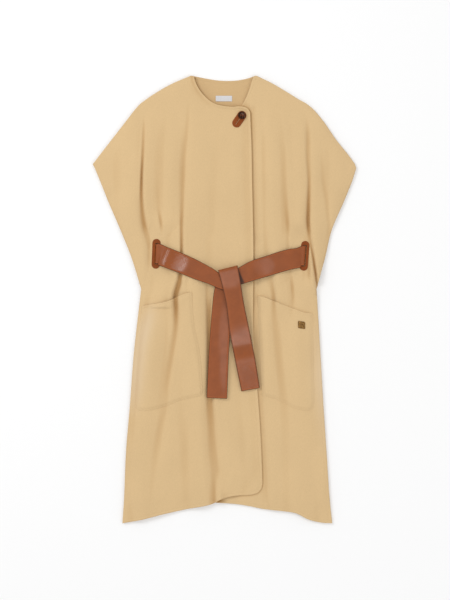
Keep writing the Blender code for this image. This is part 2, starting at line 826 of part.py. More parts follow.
def belt(material):
    """Five stretches of one belt, each on its own level where they cross in the knot."""
    outs, drops = np.meshgrid(np.linspace(-30, 50, 17), np.linspace(470, 540, 15))
    step = BELT_THICK + GAP
    inner_belt(material)
    below = back_end(material)
    level = max(coat_top(outs, drops).max() + GAP + BELT_SPARE, below[1][below[0] < 560].max() - BELT_THICK)
    strap(LEFT, level + step, material)
    strap(RIGHT, level + 2 * step, material)
    front_end(level, level + 3 * step, below, material)


def button(material):
    """A turned horn button with a raised rim and four holes, lying on its patch."""
    out, drop = BUTTONHOLE[0]
    angles = np.linspace(0, 2 * np.pi, 16, endpoint=False)
    rim = coat_top(out + np.cos(angles) * BUTTON_WIDTH / 2, drop + np.sin(angles) * BUTTON_WIDTH / 2)
    height = max(rim.max(), coat_top(out, drop)) + GAP + LEATHER + GAP + 0.1
    half = BUTTON_WIDTH / 2
    profile = (
        (half - 1.6, 0), (half, 1.1), (half, BUTTON_THICK - 1), (half - 0.8, BUTTON_THICK),
        (half - 2.2, BUTTON_THICK), (half - 3.2, BUTTON_THICK - 0.9),
    )
    mesh = bpy.data.meshes.new("button")
    mesh.from_pydata(*turned(profile, 28))
    node = finish("button", mesh, material)
    node.location = place(out, drop, height)
    for n in range(4):
        angle = np.pi * (n / 2 + 0.25)
        spot = place(out + 2.6 * np.cos(angle), drop + 2.6 * np.sin(angle), height + BUTTON_THICK / 2)
        drill(node, spot, 0.9)
    return node


def turned(profile, sides):
    """A closed solid of revolution, as points in metres, no edges, and faces."""
    angles = np.linspace(0, 2 * np.pi, sides, endpoint=False)
    points = [(r * np.cos(a) * MM, r * np.sin(a) * MM, z * MM) for r, z in profile for a in angles]
    faces = [tuple(reversed(range(sides))), tuple(range(sides * (len(profile) - 1), sides * len(profile)))]
    for ring in range(len(profile) - 1):
        for n in range(sides):
            a, b = ring * sides + n, ring * sides + (n + 1) % sides
            faces.append((a, b, b + sides, a + sides))
    return points, [], faces


def drill(node, spot, radius):
    """Cuts a round hole straight through a node."""
    mesh = bpy.data.meshes.new(node.name + "_hole")
    mesh.from_pydata(*turned(((radius, -9), (radius, 9)), 10))
    cutter = bpy.data.objects.new(mesh.name, mesh)
    cutter.location = spot
    cutter.hide_render = True
    cutter.display_type = "WIRE"
    bpy.context.scene.collection.objects.link(cutter)
    cut = node.modifiers.new("hole", "BOOLEAN")
    cut.operation = "DIFFERENCE"
    cut.solver = "EXACT"
    cut.object = cutter


def build():
    for old in list(bpy.data.objects):
        bpy.data.objects.remove(old, do_unlink=True)
    cashmere = make_material("camel_cashmere", (0.72, 0.51, 0.28), 0.9)
    leather = make_material("tan_leather", (0.29, 0.105, 0.045), 0.45)
    patch_leather = make_material("dark_tan_leather", (0.25, 0.11, 0.05), 0.5)
    horn = make_material("dark_horn", (0.045, 0.014, 0.006), 0.3)
    tape = make_material("white_tape", (0.8, 0.8, 0.8), 0.7)
    brass = make_material("aged_brass", (0.24, 0.13, 0.04), 0.4, 1.0)
    solid("back", flat_surface(back_places(), CLOTH), CLOTH, cashmere)
    solid("neck_label", flat_surface(LABEL, CLOTH + GAP + LABEL_THICK), LABEL_THICK, tape)
    surfaces = {side: front_surface(side) for side in (RIGHT, LEFT)}
    for side, end in ((RIGHT, "right"), (LEFT, "left")):
        surface = trim(surfaces[side], slit_border(side), keep_inside=False)
        solid("front_" + end, surface, CLOTH, cashmere)
        pocket = raised(trim(surfaces[side], POCKETS[side]), GAP + CLOTH)
        solid("pocket_" + end, pocket, CLOTH, cashmere)
        patch = stadium(*slit_ends(side, PATCH_LENGTH - PATCH_WIDTH), PATCH_WIDTH)
        patch_surface = trim(trim(surfaces[side], patch), slit_border(side), keep_inside=False)
        solid("slit_patch_" + end, raised(patch_surface, GAP + LEATHER), LEATHER, patch_leather)
    buttonhole = trim(surfaces[RIGHT], stadium(*BUTTONHOLE, BUTTONHOLE_WIDTH))
    buttonhole = trim(buttonhole, buttonhole_border(), keep_inside=False)
    solid("buttonhole_patch", raised(buttonhole, GAP + LEATHER), LEATHER, patch_leather)
    plate = raised(trim(surfaces[LEFT], PLATE), GAP + CLOTH + GAP + PLATE_THICK)
    solid("pocket_plate", plate, PLATE_THICK, brass)
    button(horn)
    belt(leather)


build()
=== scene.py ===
"""The looks of a long belted wrap coat in camel cashmere, laid flat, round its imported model.

A place on the coat is (out, drop) in millimetres: out runs from the centre line towards the wearer's
left, and drop runs down from the top of the shoulders.  Heights are in millimetres above the table.
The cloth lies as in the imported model, with fuller folds, rounded edges, seams, small creases and
stitches.
"""

import bpy
import numpy as np
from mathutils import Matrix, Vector
from mathutils.geometry import delaunay_2d_cdt
from mathutils.kdtree import KDTree


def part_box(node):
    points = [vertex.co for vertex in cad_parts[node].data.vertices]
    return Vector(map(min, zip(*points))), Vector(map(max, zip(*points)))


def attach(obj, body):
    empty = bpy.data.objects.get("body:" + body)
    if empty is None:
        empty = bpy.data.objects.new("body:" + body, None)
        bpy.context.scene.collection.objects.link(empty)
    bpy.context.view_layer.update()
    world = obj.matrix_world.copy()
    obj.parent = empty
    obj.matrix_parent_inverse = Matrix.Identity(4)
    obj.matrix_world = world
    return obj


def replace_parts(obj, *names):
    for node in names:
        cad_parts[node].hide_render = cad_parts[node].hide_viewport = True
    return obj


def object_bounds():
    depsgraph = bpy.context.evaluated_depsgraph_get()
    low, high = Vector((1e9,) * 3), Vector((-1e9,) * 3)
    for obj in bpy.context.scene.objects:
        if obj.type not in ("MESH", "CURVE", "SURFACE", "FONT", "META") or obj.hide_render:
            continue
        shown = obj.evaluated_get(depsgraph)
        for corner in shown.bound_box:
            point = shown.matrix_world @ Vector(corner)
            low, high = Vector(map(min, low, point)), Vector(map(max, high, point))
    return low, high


MM = 0.001
RIGHT = -1
LEFT = 1
SIDES = ((RIGHT, "right"), (LEFT, "left"))

# Thicknesses and widths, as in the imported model.
CLOTH = 2.5
GAP = 0.3
LEATHER = 1.2
BELT_WIDTH = 50.0
BELT_THICK = 2.2
SLIT_LENGTH = 52.6
SLIT_WIDTH = 7.2
SLIT_OUTER = {RIGHT: 2.5, LEFT: 3.6}
PATCH_LENGTH = 74.0
PATCH_WIDTH = 20.5
BUTTONHOLE_WIDTH = 22.4
BUTTONHOLE_GAP = 1.0
BUTTON_WIDTH = 19.5
BUTTON_THICK = 3.4
LABEL_THICK = 0.8
PLATE_THICK = 1.2
LAYER = CLOTH + GAP
ON_BACK = LAYER
ON_BELT = ON_BACK + BELT_THICK + GAP

# How the fronts lie: their loft, and over what distances they ease down to edges, overlap and belt.
LOFT = 4.0
EDGE_ROUND = 34.0
HEM_INSET = 2.0
HEM_EASE = 60.0
EDGE_EASE = 40.0
BELT_EASE = 44.0
OVERLAP_MARGIN = 4.0
OVERLAP_EASE = 16.0
UNDER_BELT = {RIGHT: 38.0, LEFT: 20.0}
NECK_HALF = 76
SHOULDER_START = 78
SHOULDER_PITCH = 1.2
# How far the right front's free edge stands up, as (drop, height), and its neckline.
EDGE_CURL = ((60, 2.4), (130, 2.4), (260, 3.0), (440, 3.0), (700, 2.0), (900, 1.4), (1118, 1.0))
NECK_CURL = 4.0
CURL_REACH = 16.0
CURL_END = 30
# Where the left front alone counts for what lies on the coat.
EDGE_SPARE = 3
OVERLAP_START = 60
# The flat ground round a slit: a half reach and an ease outward, inward and along it, and its lift.
SLIT_GROUND = ((11.5, 5), (24, 44), (38, 48))
SLIT_LIFT = 2.5

# How the belt lies: its spare height, its turns and its knot.
BELT_SPARE = 1.1
TURN_TAIL = 7.0
TURN_STEPS = 8
KNOT = (9.0, 500.0)
KNOT_REACH = 98.0
KNOT_FLAT = 50.0
KNOT_LOOSE = 2.0
KNOT_GROUND = ((-30, 50), (470, 540))
# Down to which drop the front end lies on the back one, where it leaves the knot, and where it hangs free.
BACK_END_FOOT = 668.0
KNOT_FOOT = 545
KNOT_EASE = 75
HANG_START = 630
# How far the front turn runs on under the knot, and how far a slit holds a strap up.
KNOT_TAIL = (16, 8, 2)
SLIT_REACH = 50
SLIT_EASE = 25
# How many points a stretch is laid out with, and how it is kept clear of what it lies on.
STATIONS = 14
FRONT_STATIONS = 20
ACROSS_SHARES = np.linspace(-0.5, 0.5, 9)
EASED = (0.25, 0.5, 0.25)
BELT_PITCH = 1.4
THREAD_SINK = 0.02

# The pitch of the cloth's points, how round its edges are, and its seams as steps and depths.
PITCH = 3.6
BACK_PITCH = 9.0
POCKET_PITCH = 3.2
POCKET_SEAM = 5.0
# The rows of points in the cloth, and how clear they keep of others, as shares of the pitch.
ROW_SHARE = 0.87
FILL_SHARE = 0.55
EXTRA_SHARE = 0.45
EXTRA_CLEAR = 1.2
EDGE_STEP = 0.29
SEAM_IN = 7.0
SEAM = ((-0.8, 0), (0, 0.3), (0.8, 0))
# Where points are added to the cloth: along its troughs, and beside the border that lies over it.
TROUGH_STEP = 2.8
TROUGH_SHARES = (-1.7, -1.15, -0.75, -0.4, 0, 0.4, 0.75, 1.15, 1.7)
BORDER_STEPS = (-1.5, 0.5, 2.0, 3.6, 5.6)
BACK_SHOWS = 95
BORDER_PITCH = 2.6
BORDER_END = -60
# An inset's sharpest corner, and how near to its full distance a point has to come.
SHARPEST = 0.45
INSET_KEPT = 0.97

# The shoulder and overarm, the cuff, and the side, as (out, drop) on each side.
OUTLINE = {
    RIGHT: (
        ((84, 0), (131, 20), (170, 42), (197, 60), (210, 70), (223, 84), (247, 115), (282, 160),
         (313, 200), (329, 221)),
        ((329, 221), (324, 231)),
        ((324, 231), (312, 260), (290, 315), (260, 385), (232, 455), (208, 533)),
        ((208, 533), (216, 600), (227, 700), (236, 820), (246, 940), (251, 1060), (255, 1118)),
    ),
    LEFT: (
        ((80, 0), (121, 20), (158, 42), (187, 60), (205, 70), (222, 84), (248, 115), (279, 160),
         (311, 200), (326, 221)),
        ((326, 221), (329, 231)),
        ((329, 231), (320, 260), (298, 315), (268, 385), (251, 455), (230, 533)),
        ((230, 533), (234, 600), (240, 700), (247, 820), (255, 940), (263, 1060), (269, 1118)),
    ),
}
NECK_BACK = ((-76, 1), (-46, 7), (-13, 12), (29, 12), (60, 6), (74, 1))
NECK_FRONT = {
    RIGHT: ((-76, 1), (-74, 12), (-64, 33), (-50, 51), (-27, 69), (-8, 75), (18, 78), (42, 77), (57, 82),
        (64, 91)),
    LEFT: ((-60, 84), (20, 84), (39, 77), (47, 68), (54, 54), (61, 37), (69, 12), (74, 1)),
}
HEM_FRONT = {
    RIGHT: ((-255, 1118), (-211, 1110), (-151, 1095), (-91, 1082), (-39, 1072), (-25, 1067), (-14, 1060),
        (6, 1053), (28, 1049), (70, 1046), (84, 1041), (92, 1031), (95, 1019)),
    LEFT: ((-60, 1063), (-30, 1066), (28, 1070), (61, 1075), (95, 1082), (149, 1088), (179, 1093),
        (209, 1108), (240, 1116), (269, 1118)),
}
HEM_BACK = (-20, 1068)
HEM_BACK_ENDS = (-30, 28)
# The edge of each front that runs down past the other one, as (drop, out).
FREE_EDGE = {
    RIGHT: ((60, 64), (110, 66), (260, 69), (400, 72), (720, 76), (790, 83), (900, 90), (1000, 95),
        (1118, 95)),
    LEFT: ((60, -60), (1118, -48)),
}

# The folds: soft ridges, each with its reach towards the front edge, its reach towards the side, and
# its crest as (drop, out, height).
RIDGES = {
    RIGHT: (
        # beside the sleeve
        (46, 20, (85, -188, 0), (150, -194, 6), (235, -197, 9), (310, -198, 10), (360, -192, 8),
         (400, -182, 4), (440, -182, 1), (500, -190, 2), (560, -200, 0)),
        # on the sleeve
        (22, 56, (90, -214, 0), (150, -219, 4), (235, -221, 7), (322, -222, 8), (380, -216, 6),
         (440, -205, 4), (500, -202, 3), (560, -204, 0)),
        # beside the main fold
        (36, 44, (110, -128, 0), (200, -133, 6), (320, -137, 8), (430, -139, 9), (520, -146, 8),
         (580, -158, 5)),
        # over the main fold
        (20, 20, (250, -106, 0), (380, -109, 4), (470, -112, 6), (550, -124, 6), (640, -126, 4),
         (800, -146, 2), (900, -164, 0)),
        # over the hip
        (48, 34, (520, -160, 0), (600, -168, 7), (680, -180, 9), (780, -190, 9), (900, -202, 6),
         (1010, -206, 4), (1118, -206, 5)),
        # along the main fold
        (66, 26, (60, -66, 0), (185, -82, 4), (310, -88, 7), (430, -91, 9), (520, -97, 8), (590, -103, 6),
         (680, -112, 6), (780, -128, 6), (860, -138, 4), (960, -152, 3), (1040, -162, 2), (1118, -170, 3)),
        # beside the tail fold
        (24, 56, (480, -66, 0), (560, -66, 6), (700, -64, 7), (820, -62, 8), (920, -56, 8), (1020, -48, 7),
         (1118, -44, 7)),
        # over the tail fold
        (26, 26, (500, -38, 0), (560, -38, 3), (772, -36, 4), (885, -28, 5), (1010, -19, 5),
         (1118, -14, 4)),
        # over the hollow at the hem
        (13, 13, (985, -16, 0), (1035, -14, 5), (1062, -13, 9), (1118, -12, 9)),
        # under the belt ends
        (60, 24, (520, -20, 0), (600, -20, 5), (800, -18, 6), (920, -6, 8), (1020, 5, 7), (1118, 12, 5)),
    ),
    LEFT: (
        # beside the overlap
        (24, 44, (80, 112, 0), (150, 117, 4), (260, 119, 6), (400, 122, 6), (480, 130, 6), (560, 140, 5),
         (620, 145, 0)),
        # along the fold
        (26, 34, (90, 150, 0), (190, 165, 5), (310, 170, 8), (400, 175, 9), (480, 183, 7), (575, 187, 5),
         (640, 190, 0)),
        # beside the sleeve
        (32, 16, (90, 188, 0), (150, 195, 5), (235, 200, 8), (310, 199, 10), (370, 197, 10), (405, 202, 8),
         (440, 208, 6), (500, 216, 5), (560, 222, 0)),
        # inside the skirt fold
        (22, 36, (560, 100, 0), (640, 104, 4), (760, 114, 3), (880, 124, 2), (1000, 126, 2),
         (1118, 128, 3)),
        # outside the skirt fold
        (48, 48, (570, 160, 0), (640, 170, 5), (760, 182, 6), (880, 190, 4), (1000, 188, 3),
         (1118, 188, 5)),
        # on the sleeve, inner
        (20, 40, (110, 220, 0), (200, 222, 5), (300, 221, 8), (390, 222, 9), (440, 230, 8), (500, 238, 6),
         (545, 244, 0)),
        # on the sleeve, outer
        (44, 34, (150, 262, 0), (230, 280, 4), (320, 272, 4), (400, 262, 0)),
    ),
}
# What stands up at the foot of each sleeve, where its cuff is open, as the ridges.
CUFFS = {
    RIGHT: (),
    LEFT: (
        # body side
        (36, 12, (420, 206, 0), (470, 214, 3), (517, 222, 6), (548, 225, 4), (590, 226, 0)),
        # sleeve side
        (12, 22, (440, 226, 0), (480, 232, 4), (517, 236, 7), (560, 240, 0)),
    ),
}
# The sharp bottoms of the folds, and small creases, as (drop, out, depth, half width).
TROUGHS = {
    RIGHT: (
        # sleeve crease
        ((100, -200, 0, 3.5), (135, -201, 2.2, 3.5), (197, -203.5, 4.6, 3.5), (260, -206.5, 7.5, 3.5),
         (322, -206, 6.2, 5), (380, -198, 6, 7.5), (412, -188, 4, 7), (440, -182, 0, 6)),
        # by the cuff
        ((395, -194, 0, 7), (430, -189, 2, 7), (490, -192, 2.5, 7), (540, -198, 0, 6)),
        # main fold
        ((60, -90, 0, 5), (135, -93, 1.3, 5), (197, -100, 1.3, 6), (260, -103, 2, 6), (322, -105, 3, 5),
         (380, -107, 5.4, 4.2), (430, -107, 8, 4), (480, -109, 13, 5), (517, -113.5, 17, 5.5),
         (550, -122, 13, 6.5), (580, -121, 10, 7), (622, -121, 7, 8), (697, -130, 5, 8),
         (772, -141, 3.2, 8), (822, -144, 2.6, 9), (885, -160, 1.6, 14), (947, -176, 1, 15),
         (1118, -188, 0.4, 16)),
        # tail fold
        ((500, -38, 0, 6), (550, -38, 8, 6), (622, -37, 9, 6), (772, -36, 9, 6.5), (822, -35, 8, 8.5),
         (885, -28, 6.5, 16), (947, -23, 6.5, 20), (1010, -18, 5, 20), (1045, -28, 2, 16),
         (1118, -34, 1, 12)),
        # small, by the sleeve
        ((240, -166, 0, 4), (300, -166, 0.6, 4), (330, -164, 0.8, 4), (380, -157, 4.2, 4),
         (408, -155, 2.4, 4), (428, -153, 0, 4)),
        # on the chest
        ((270, -79, 0, 12), (350, -79, 0.4, 12), (435, -78, 0.8, 12), (480, -80, 0, 12)),
        # under the belt
        ((490, -93, 0, 4.5), (517, -93, 2.2, 4.5), (552, -92, 0, 4.5)),
        # under the patch
        ((478, -168, 0, 3.5), (492, -164, 1.4, 3.5), (506, -159, 0, 3.5)),
        # below the pocket
        ((850, -99, 0, 12), (930, -99, 0.8, 12), (1010, -99, 0, 12)),
    ),
    LEFT: (
        # sleeve crease
        ((120, 206, 0, 5), (150, 206, 0.8, 4.5), (197, 206, 2.2, 4), (260, 210, 2.8, 4),
         (322, 209, 4.8, 4), (380, 209, 6, 3.8), (410, 213, 6.5, 3.6), (465, 223, 7.5, 3.2),
         (517, 230, 9.5, 2.8), (550, 232, 8, 2.8)),
        # fold
        ((60, 134, 0, 5), (197, 150, 0.6, 5), (260, 151, 0.6, 5), (322, 154, 1.4, 4.4), (380, 158, 3.2, 4),
         (430, 160, 6, 3.8), (480, 164, 5, 3.8), (517, 168.5, 3.4, 3.8), (550, 171, 2.2, 4),
         (590, 170, 0, 4)),
        # below the belt
        ((485, 116, 0, 5), (517, 119, 1.6, 5), (550, 123, 3.4, 5), (590, 124, 2.4, 8), (622, 125, 2.4, 11),
         (697, 131, 2.4, 14), (772, 141, 1.8, 15), (822, 148, 0.8, 16), (885, 147, 0.4, 18),
         (1118, 148, 0.2, 20)),
        # on the sleeve
        ((150, 240, 0, 6), (192, 241, 0.4, 6), (260, 246, 1.2, 6), (322, 256, 1.2, 6), (380, 262, 1.4, 6),
         (430, 262, 0, 6)),
        # under the patch
        ((478, 188, 0, 3.5), (491, 184, 1.4, 3.5), (505, 179, 0, 3.5)),
    ),
}

# Where a pale sheen is painted on the cloth near its sides, as (drop, out, share, half width).
PAINTED_SHEEN_LINES = (
    ((560, -180, 0, 20), (610, -192, 0.55, 20), (697, -214, 0.65, 22), (772, -222, 0.6, 22),
     (860, -234, 0, 20)),
    ((600, 236, 0, 18), (697, 240, 0.45, 20), (790, 246, 0.55, 22), (880, 252, 0.25, 18), (960, 256, 0, 18)),
)
# How dark the shade painted in a fold's bottom is: how far to each side it is compared, its share, and the
# depth that is full.
FOLD_SHADE = ((8, 0.65, 6), (20, 0.35, 7))
# How dark the shade painted on the lower cloth right beside the right front's border is, by drop, and how
# far that reaches.
BORDER_SHADE = (
    (0, 1.15), (60, 1.0), (130, 0.85), (400, 0.95), (520, 0.85), (700, 0.55), (1000, 0.55), (1118, 0.4),
)
BORDER_REACH = 3.2
# The shade painted in the hollow under the right front's hem, as out, drop, reach across, reach down, and
# share.
HEM_PAINTED_SHADE = (-16.0, 1061.0, 13.0, 7.0, 1.5)
# The shade painted inside the neck: its share, where it ends across and down, and its ease.
NECK_SHADE = (0.3, 96, 110, 16)
# The slow waves of soft cloth: a turn, a length and a phase each.
WAVES = np.random.default_rng(11).uniform(size=(7, 3))
WAVE_TURN = 0.7
WAVE_LENGTH = 70
WAVE_RANGE = 110
WAVE_HEIGHT = 0.16

# Out, drop, and how far the top leans out.
SLITS = {RIGHT: (-170.5, 445.0, 1.0), LEFT: (199.5, 450.0, 2.0)}
# The belt's stretches, as out, drop and width as seen.
INNER_BELT = ((-160, 448, 50), (-100, 462, 50), (0, 492, 50), (90, 480, 50), (188, 452, 50))
STRAPS = {
    RIGHT: ((-138, 457, 50), (-96, 474, 48), (-58, 491, 44), (-30, 504, 38), (-14, 514, 33), (19, 526, 32)),
    LEFT: ((172, 457, 51), (151, 462, 51), (109, 475, 50), (74, 486, 49), (44, 499, 42), (20, 510, 34),
           (-6, 517, 32)),
}
# Where a strap starts from its slit's middle, as out and drop.
STRAP_START = (15, 5)
BACK_END = ((1, 512, 40), (-2, 535, 46), (-8, 600, 49), (-13, 672, 50), (-19, 805, 51))
FRONT_END = (
    (8, 480, 50), (14, 505, 48), (19, 530, 46), (25, 562, 44), (36, 630, 49), (52, 712, 50), (65, 784, 47),
)
# The belt's cross-section: how far in from an edge its points lie, on top and below.
TOP_STEPS = (0.0, 0.12, 0.45, 1.1, 1.8, 2.5, 3.0, 3.4, 3.8, 4.4, 6.0, 9.0, 13.0, 18.0)
UNDER_STEPS = (0.12, 0.45, 1.1, 4.0, 12.0)
END_STEPS = (0, 0.1, 0.3, 0.7, 1.1, 1.4)
# How far in its stitches run in a groove of a depth and width, its bead's height, place and width, how
# much its middle rises, and how round its corners are.
STITCH_IN = 3.4
GROOVE = (0.28, 0.5)
BEAD = (0.14, 1.9, 0.9)
CROWN = 0.25
CORNER = 1.4
# How far in its painted edge ends and how softly, and where its painted highlight line lies and how wide.
PAINT = (1.7, 1.2)
PAINTED_HIGHLIGHT_LINE = (2.9, 1.1)
# Where the belt is rubbed smooth, as out, drop, reach across, reach down, and share, and its soft rim.
RUBBED = {
    "leather_strap_right": ((-124, 460, 36, 40, 1.15),),
    "leather_strap_left": ((98, 475, 30, 26, 0.55),),
    "leather_end_front": ((12, 505, 34, 30, 0.55), (52, 700, 60, 84, 0.7), (63, 765, 60, 50, 1.15)),
    "leather_end_back": ((-1, 680, 14, 120, 0.5),),
}
RUBBED_RIM = (1.15, 0.45)
# The shade painted in the hollow beside the knot: the drops of its ends, where its side starts, its width at
# its foot, its ease.
KNOT_PAINTED_SHADE = (476.0, 524.0, 33, 22.0, 4)

# The pocket borders, as runs of (out, drop) from the mouth's outer end round by the inner side.
POCKETS = {
    RIGHT: (
        ((-206, 575), (-136, 561), (-114, 550), (-96, 543), (-81, 541)),
        ((-81, 541), (-74, 625), (-61, 690), (-54, 770), (-53, 790), (-59, 800)),
        ((-59, 800), (-111, 812), (-141, 824), (-166, 832), (-200, 837), (-219, 834), (-224, 824)),
        ((-224, 824), (-217, 690), (-206, 575)),
    ),
    LEFT: (
        ((221, 593), (200, 591), (171, 581), (121, 562), (96, 552), (82, 549)),
        ((82, 549), (92, 799)),
        ((92, 799), (100, 801), (133, 810), (171, 830), (196, 836), (210, 837), (222, 829), (225, 815)),
        ((225, 815), (221, 593)),
    ),
}
# How far the pocket's mouth stands off the coat: the middle of each gape, its reach and its lift.
MOUTHS = {RIGHT: ((-130, 34, 5.0), (-180, 30, 1.5)), LEFT: ((112, 30, 4.5), (185, 34, 1.2))}
MOUTH_LIFT = 0.6
MOUTH_DEPTH = 60.0
# How deep a pocket's sewn edges are pressed in, and over what distance.
SEWN_DEEP = 2.4
SEWN_REACH = 11.0

BUTTONHOLE = ((43.5, 99.5), (30.5, 118.5))
# How far the cut runs past the lower place, and ends before the upper one.
BUTTONHOLE_ENDS = (4, 16)
LABEL = ((-22, 50), (19, 50), (19, 64), (-22, 64))
PLATE = ((183, 612), (201, 615), (201, 633), (183, 630))
PLATE_CORNER = 3
PIN_SHIFT = 6.0
# A pin's half width, its dome's height, and where its foot starts.
PIN = (1.5, 0.8, -0.4)
PIN_SIDES = 24
# The button's section as (in from the rim, height): its underside, its rim's round, and its dish.
BUTTON_FOOT = ((1.8, 0), (0.9, 0.15), (0.2, 0.7), (0, 1.3), (0, BUTTON_THICK - 1.5))
BUTTON_DISH = ((2.0, -0.1), (2.6, -0.6), (3.4, -1.0), (5.0, -1.25), (7.75, -1.35), (9.35, -1.35))
BUTTON_RIM = (0.15, 1.05, 1.2)
BUTTON_SIDES = 72
# The button's threads: how far out they lie, half their length, how far apart, and their arch.
BUTTON_THREADS = (2.6, 2.4, 0.5, 0.5)
THREAD_LEAN = 0.3
THREAD_LEVEL = 1.3
# How far in the label's stitches run from its sides and start from its upper edge.
LABEL_STITCHES = (1.2, 0.8)

# The pitch, length and radius of each kind of stitch, and its slot.
STITCHES = {
    "pocket": (5.2, 2.6, 0.3, "cashmere"),
    "patch": (3.4, 2.1, 0.24, "patch_leather"),
    "slot": (1.0, 0.8, 0.32, "patch_leather"),
    "belt": (4.4, 3.0, 0.26, "belt_leather"),
    "button": (6.0, 4.4, 0.32, "horn"),
    "label": (2.0, 1.3, 0.16, "tape"),
}
# How far in from an edge the rows of stitches run, and how far they stand off a pocket.
PATCH_STITCHES = 2.0
SLOT_STITCHES = -0.9
POCKET_STITCHES = 3.0
THREAD_LIFT = 0.05
# A stitch's thickness along its length, and how many sides it has.
STITCH_SHAPE = ((0.0, 0.25), (0.12, 0.8), (0.5, 1.0), (0.88, 0.8), (1.0, 0.25))
STITCH_SIDES = 6

# The cloth's own colour, the colour of the shade painted in its folds and beside borders, and the colour of
# its painted sheen.
CAMEL = (0.640, 0.452, 0.240)
CAMEL_PAINTED_SHADE = (0.40, 0.215, 0.075)
CAMEL_PAINTED_SHEEN = (0.68, 0.53, 0.36)
TAN = (0.262, 0.063, 0.009)
PATCH_TAN = (0.228, 0.052, 0.007)
HORN = ((0.016, 0.005, 0.002), (0.10, 0.032, 0.011))
BRASS = ((0.28, 0.155, 0.05), (0.09, 0.045, 0.018))
TAPE = (0.62, 0.61, 0.615)
FLOOR = (0.9, 0.9, 0.9)
FLOOR_REACH = 20000
FLOOR_LEVELS = (-0.4, -0.2)
FLOOR_SIDES = 64

# Each light's place and size in metres, and its power in watts.  The last is long: its width and turn.
LIGHTS = {
    "key": ((-2.4, 2.0, 2.6), 1.6, 44),
    "fill": ((2.6, -1.2, 2.8), 2.4, 14),
    "overhead": ((-0.13, -0.21, 5.6), 1.6, 40),
}
OVERHEAD = (0.6, -54)
# The white surroundings' strength, and the camera's place: half a picture point off the middle, in metres.
WORLD = 0.76
HALF_PIXEL = 0.00125
CAMERA_HEIGHT = 5.0


# ---- lines


def smooth(share):
    share = np.clip(share, 0, 1)
    return share * share * (3 - 2 * share)


def unit(rows):
    return rows / np.linalg.norm(rows, axis=1)[:, None]


def lengths(points):
    """How far along a line each of its points lies."""
    return np.concatenate([[0], np.cumsum(np.linalg.norm(np.diff(points, axis=0), axis=1))])


def cubic(t, step, start, end, start_slope, end_slope):
    """A smooth run between two values with a slope at each, t of the way along the step between them."""
    first = (1 + 2 * t) * (1 - t) ** 2 * start + t * (1 - t) ** 2 * step * start_slope
    return first + (t * t * (3 - 2 * t) * end - t * t * (1 - t) * step * end_slope)


def curve(rows, at, column=1):
    """A smooth line through a table's rows, read at a value of its first column."""
    table = np.array(rows, float)
    known, value = table[:, 0], table[:, column]
    slope = np.gradient(value, known)
    at = np.clip(at, known[0], known[-1])
    row = np.clip(np.searchsorted(known, at, side="right") - 1, 0, len(known) - 2)
    step = known[row + 1] - known[row]
    return cubic((at - known[row]) / step, step, value[row], value[row + 1], slope[row], slope[row + 1])


def straight(rows, at):
    """A line of straight runs through a table's rows, read at a value of its first column."""
    known, value = np.array(rows, float).T
    return np.interp(at, known, value)


def trace(points, pitch=PITCH):
    """A smooth line through points, with its own points a pitch apart."""
    points = np.array(points, float)
    steps = np.diff(points, axis=0)
    reach = np.linalg.norm(steps, axis=1)
    ways = steps / reach[:, None]
    ways = unit(np.vstack([ways[:1], ways[:-1] + ways[1:], ways[-1:]]))
    line = []
    for n, length in enumerate(reach):
        t = np.linspace(0, 1, max(1, int(np.ceil(length / pitch))), endpoint=False)[:, None]
        line.append(cubic(t, length, points[n], points[n + 1], ways[n], ways[n + 1]))
    return np.vstack(line + [points[-1:]])


def closed(*runs, pitch=PITCH):
    """A closed border from runs that meet end to end."""
    return np.vstack([trace(run, pitch)[:-1] for run in runs])


def polygon(corners, pitch=PITCH):
    """A closed border with straight sides."""
    return closed(*zip(corners, np.roll(corners, -1, axis=0)), pitch=pitch)


def nearest(points, others):
    """How far each point lies from the nearest of the others."""
    tree = KDTree(len(others))
    for n, (x, y) in enumerate(others):
        tree.insert((x, y, 0), n)
    tree.balance()
    return np.array([tree.find((x, y, 0))[2] for x, y in points])


def within(points, border):
    """Which points lie inside a closed border."""
    x, y = points[:, 0], points[:, 1]
    odd = np.zeros(len(points), bool)
    for (ax, ay), (bx, by) in zip(border, np.roll(border, -1, axis=0)):
        if ay != by:
            odd ^= ((ay > y) != (by > y)) & (x < ax + (y - ay) / (by - ay) * (bx - ax))
    return odd


def inset(border, distance):
    """A closed border moved inward, without the points that would cross over at a corner."""
    ahead = unit(np.roll(border, -1, axis=0) - border)
    way = unit(ahead + np.roll(ahead, 1, axis=0))
    x, y = border.T
    turn = np.sign(np.sum(x * np.roll(y, -1) - np.roll(x, -1) * y))
    normal = np.stack([-way[:, 1], way[:, 0]], axis=1) * turn
    bend = np.maximum(np.abs(np.sum(way * ahead, axis=1)), SHARPEST)
    moved = border + normal * (distance / bend)[:, None]
    return moved[nearest(moved, border) >= abs(distance) * INSET_KEPT]


def in_plane(places):
    """World x and y, in millimetres, of places on the coat."""
    places = np.asarray(places, float)
    return np.stack([places[:, 0], MIDDLE - places[:, 1]], axis=1)


def to_world(out, drop, height):
    return np.array((out, MIDDLE - drop, height))


# ---- the coat's edges and heights


def side_runs(side):
    return [[(side * out, drop) for out, drop in run] for run in OUTLINE[side]]


def outline(side, drop):
    return side * straight([row[::-1] for run in OUTLINE[side] for row in run], drop)


def free_edge(side, drop):
    return curve(FREE_EDGE[side], drop)


def top_edge(side, out):
    """The drop of the front's upper edge: the neckline and the shoulder."""
    return straight(sorted(side_runs(side)[0][:6] + list(NECK_FRONT[side])), out)


def hem_edge(side, out):
    return straight(HEM_FRONT[side], out)


def to_path(rows, out, drop):
    """How far places lie from a path that runs across the coat."""
    points = np.array(rows, float)[:, :2]
    spot = np.stack(np.broadcast_arrays(np.asarray(out, float), drop), axis=-1)
    away = np.full(spot.shape[:-1], np.inf)
    for start, end in zip(points[:-1], points[1:]):
        along = end - start
        share = np.clip((spot - start) @ along / (along @ along), 0, 1)
        away = np.minimum(away, np.linalg.norm(spot - start - share[..., None] * along, axis=-1))
    return away


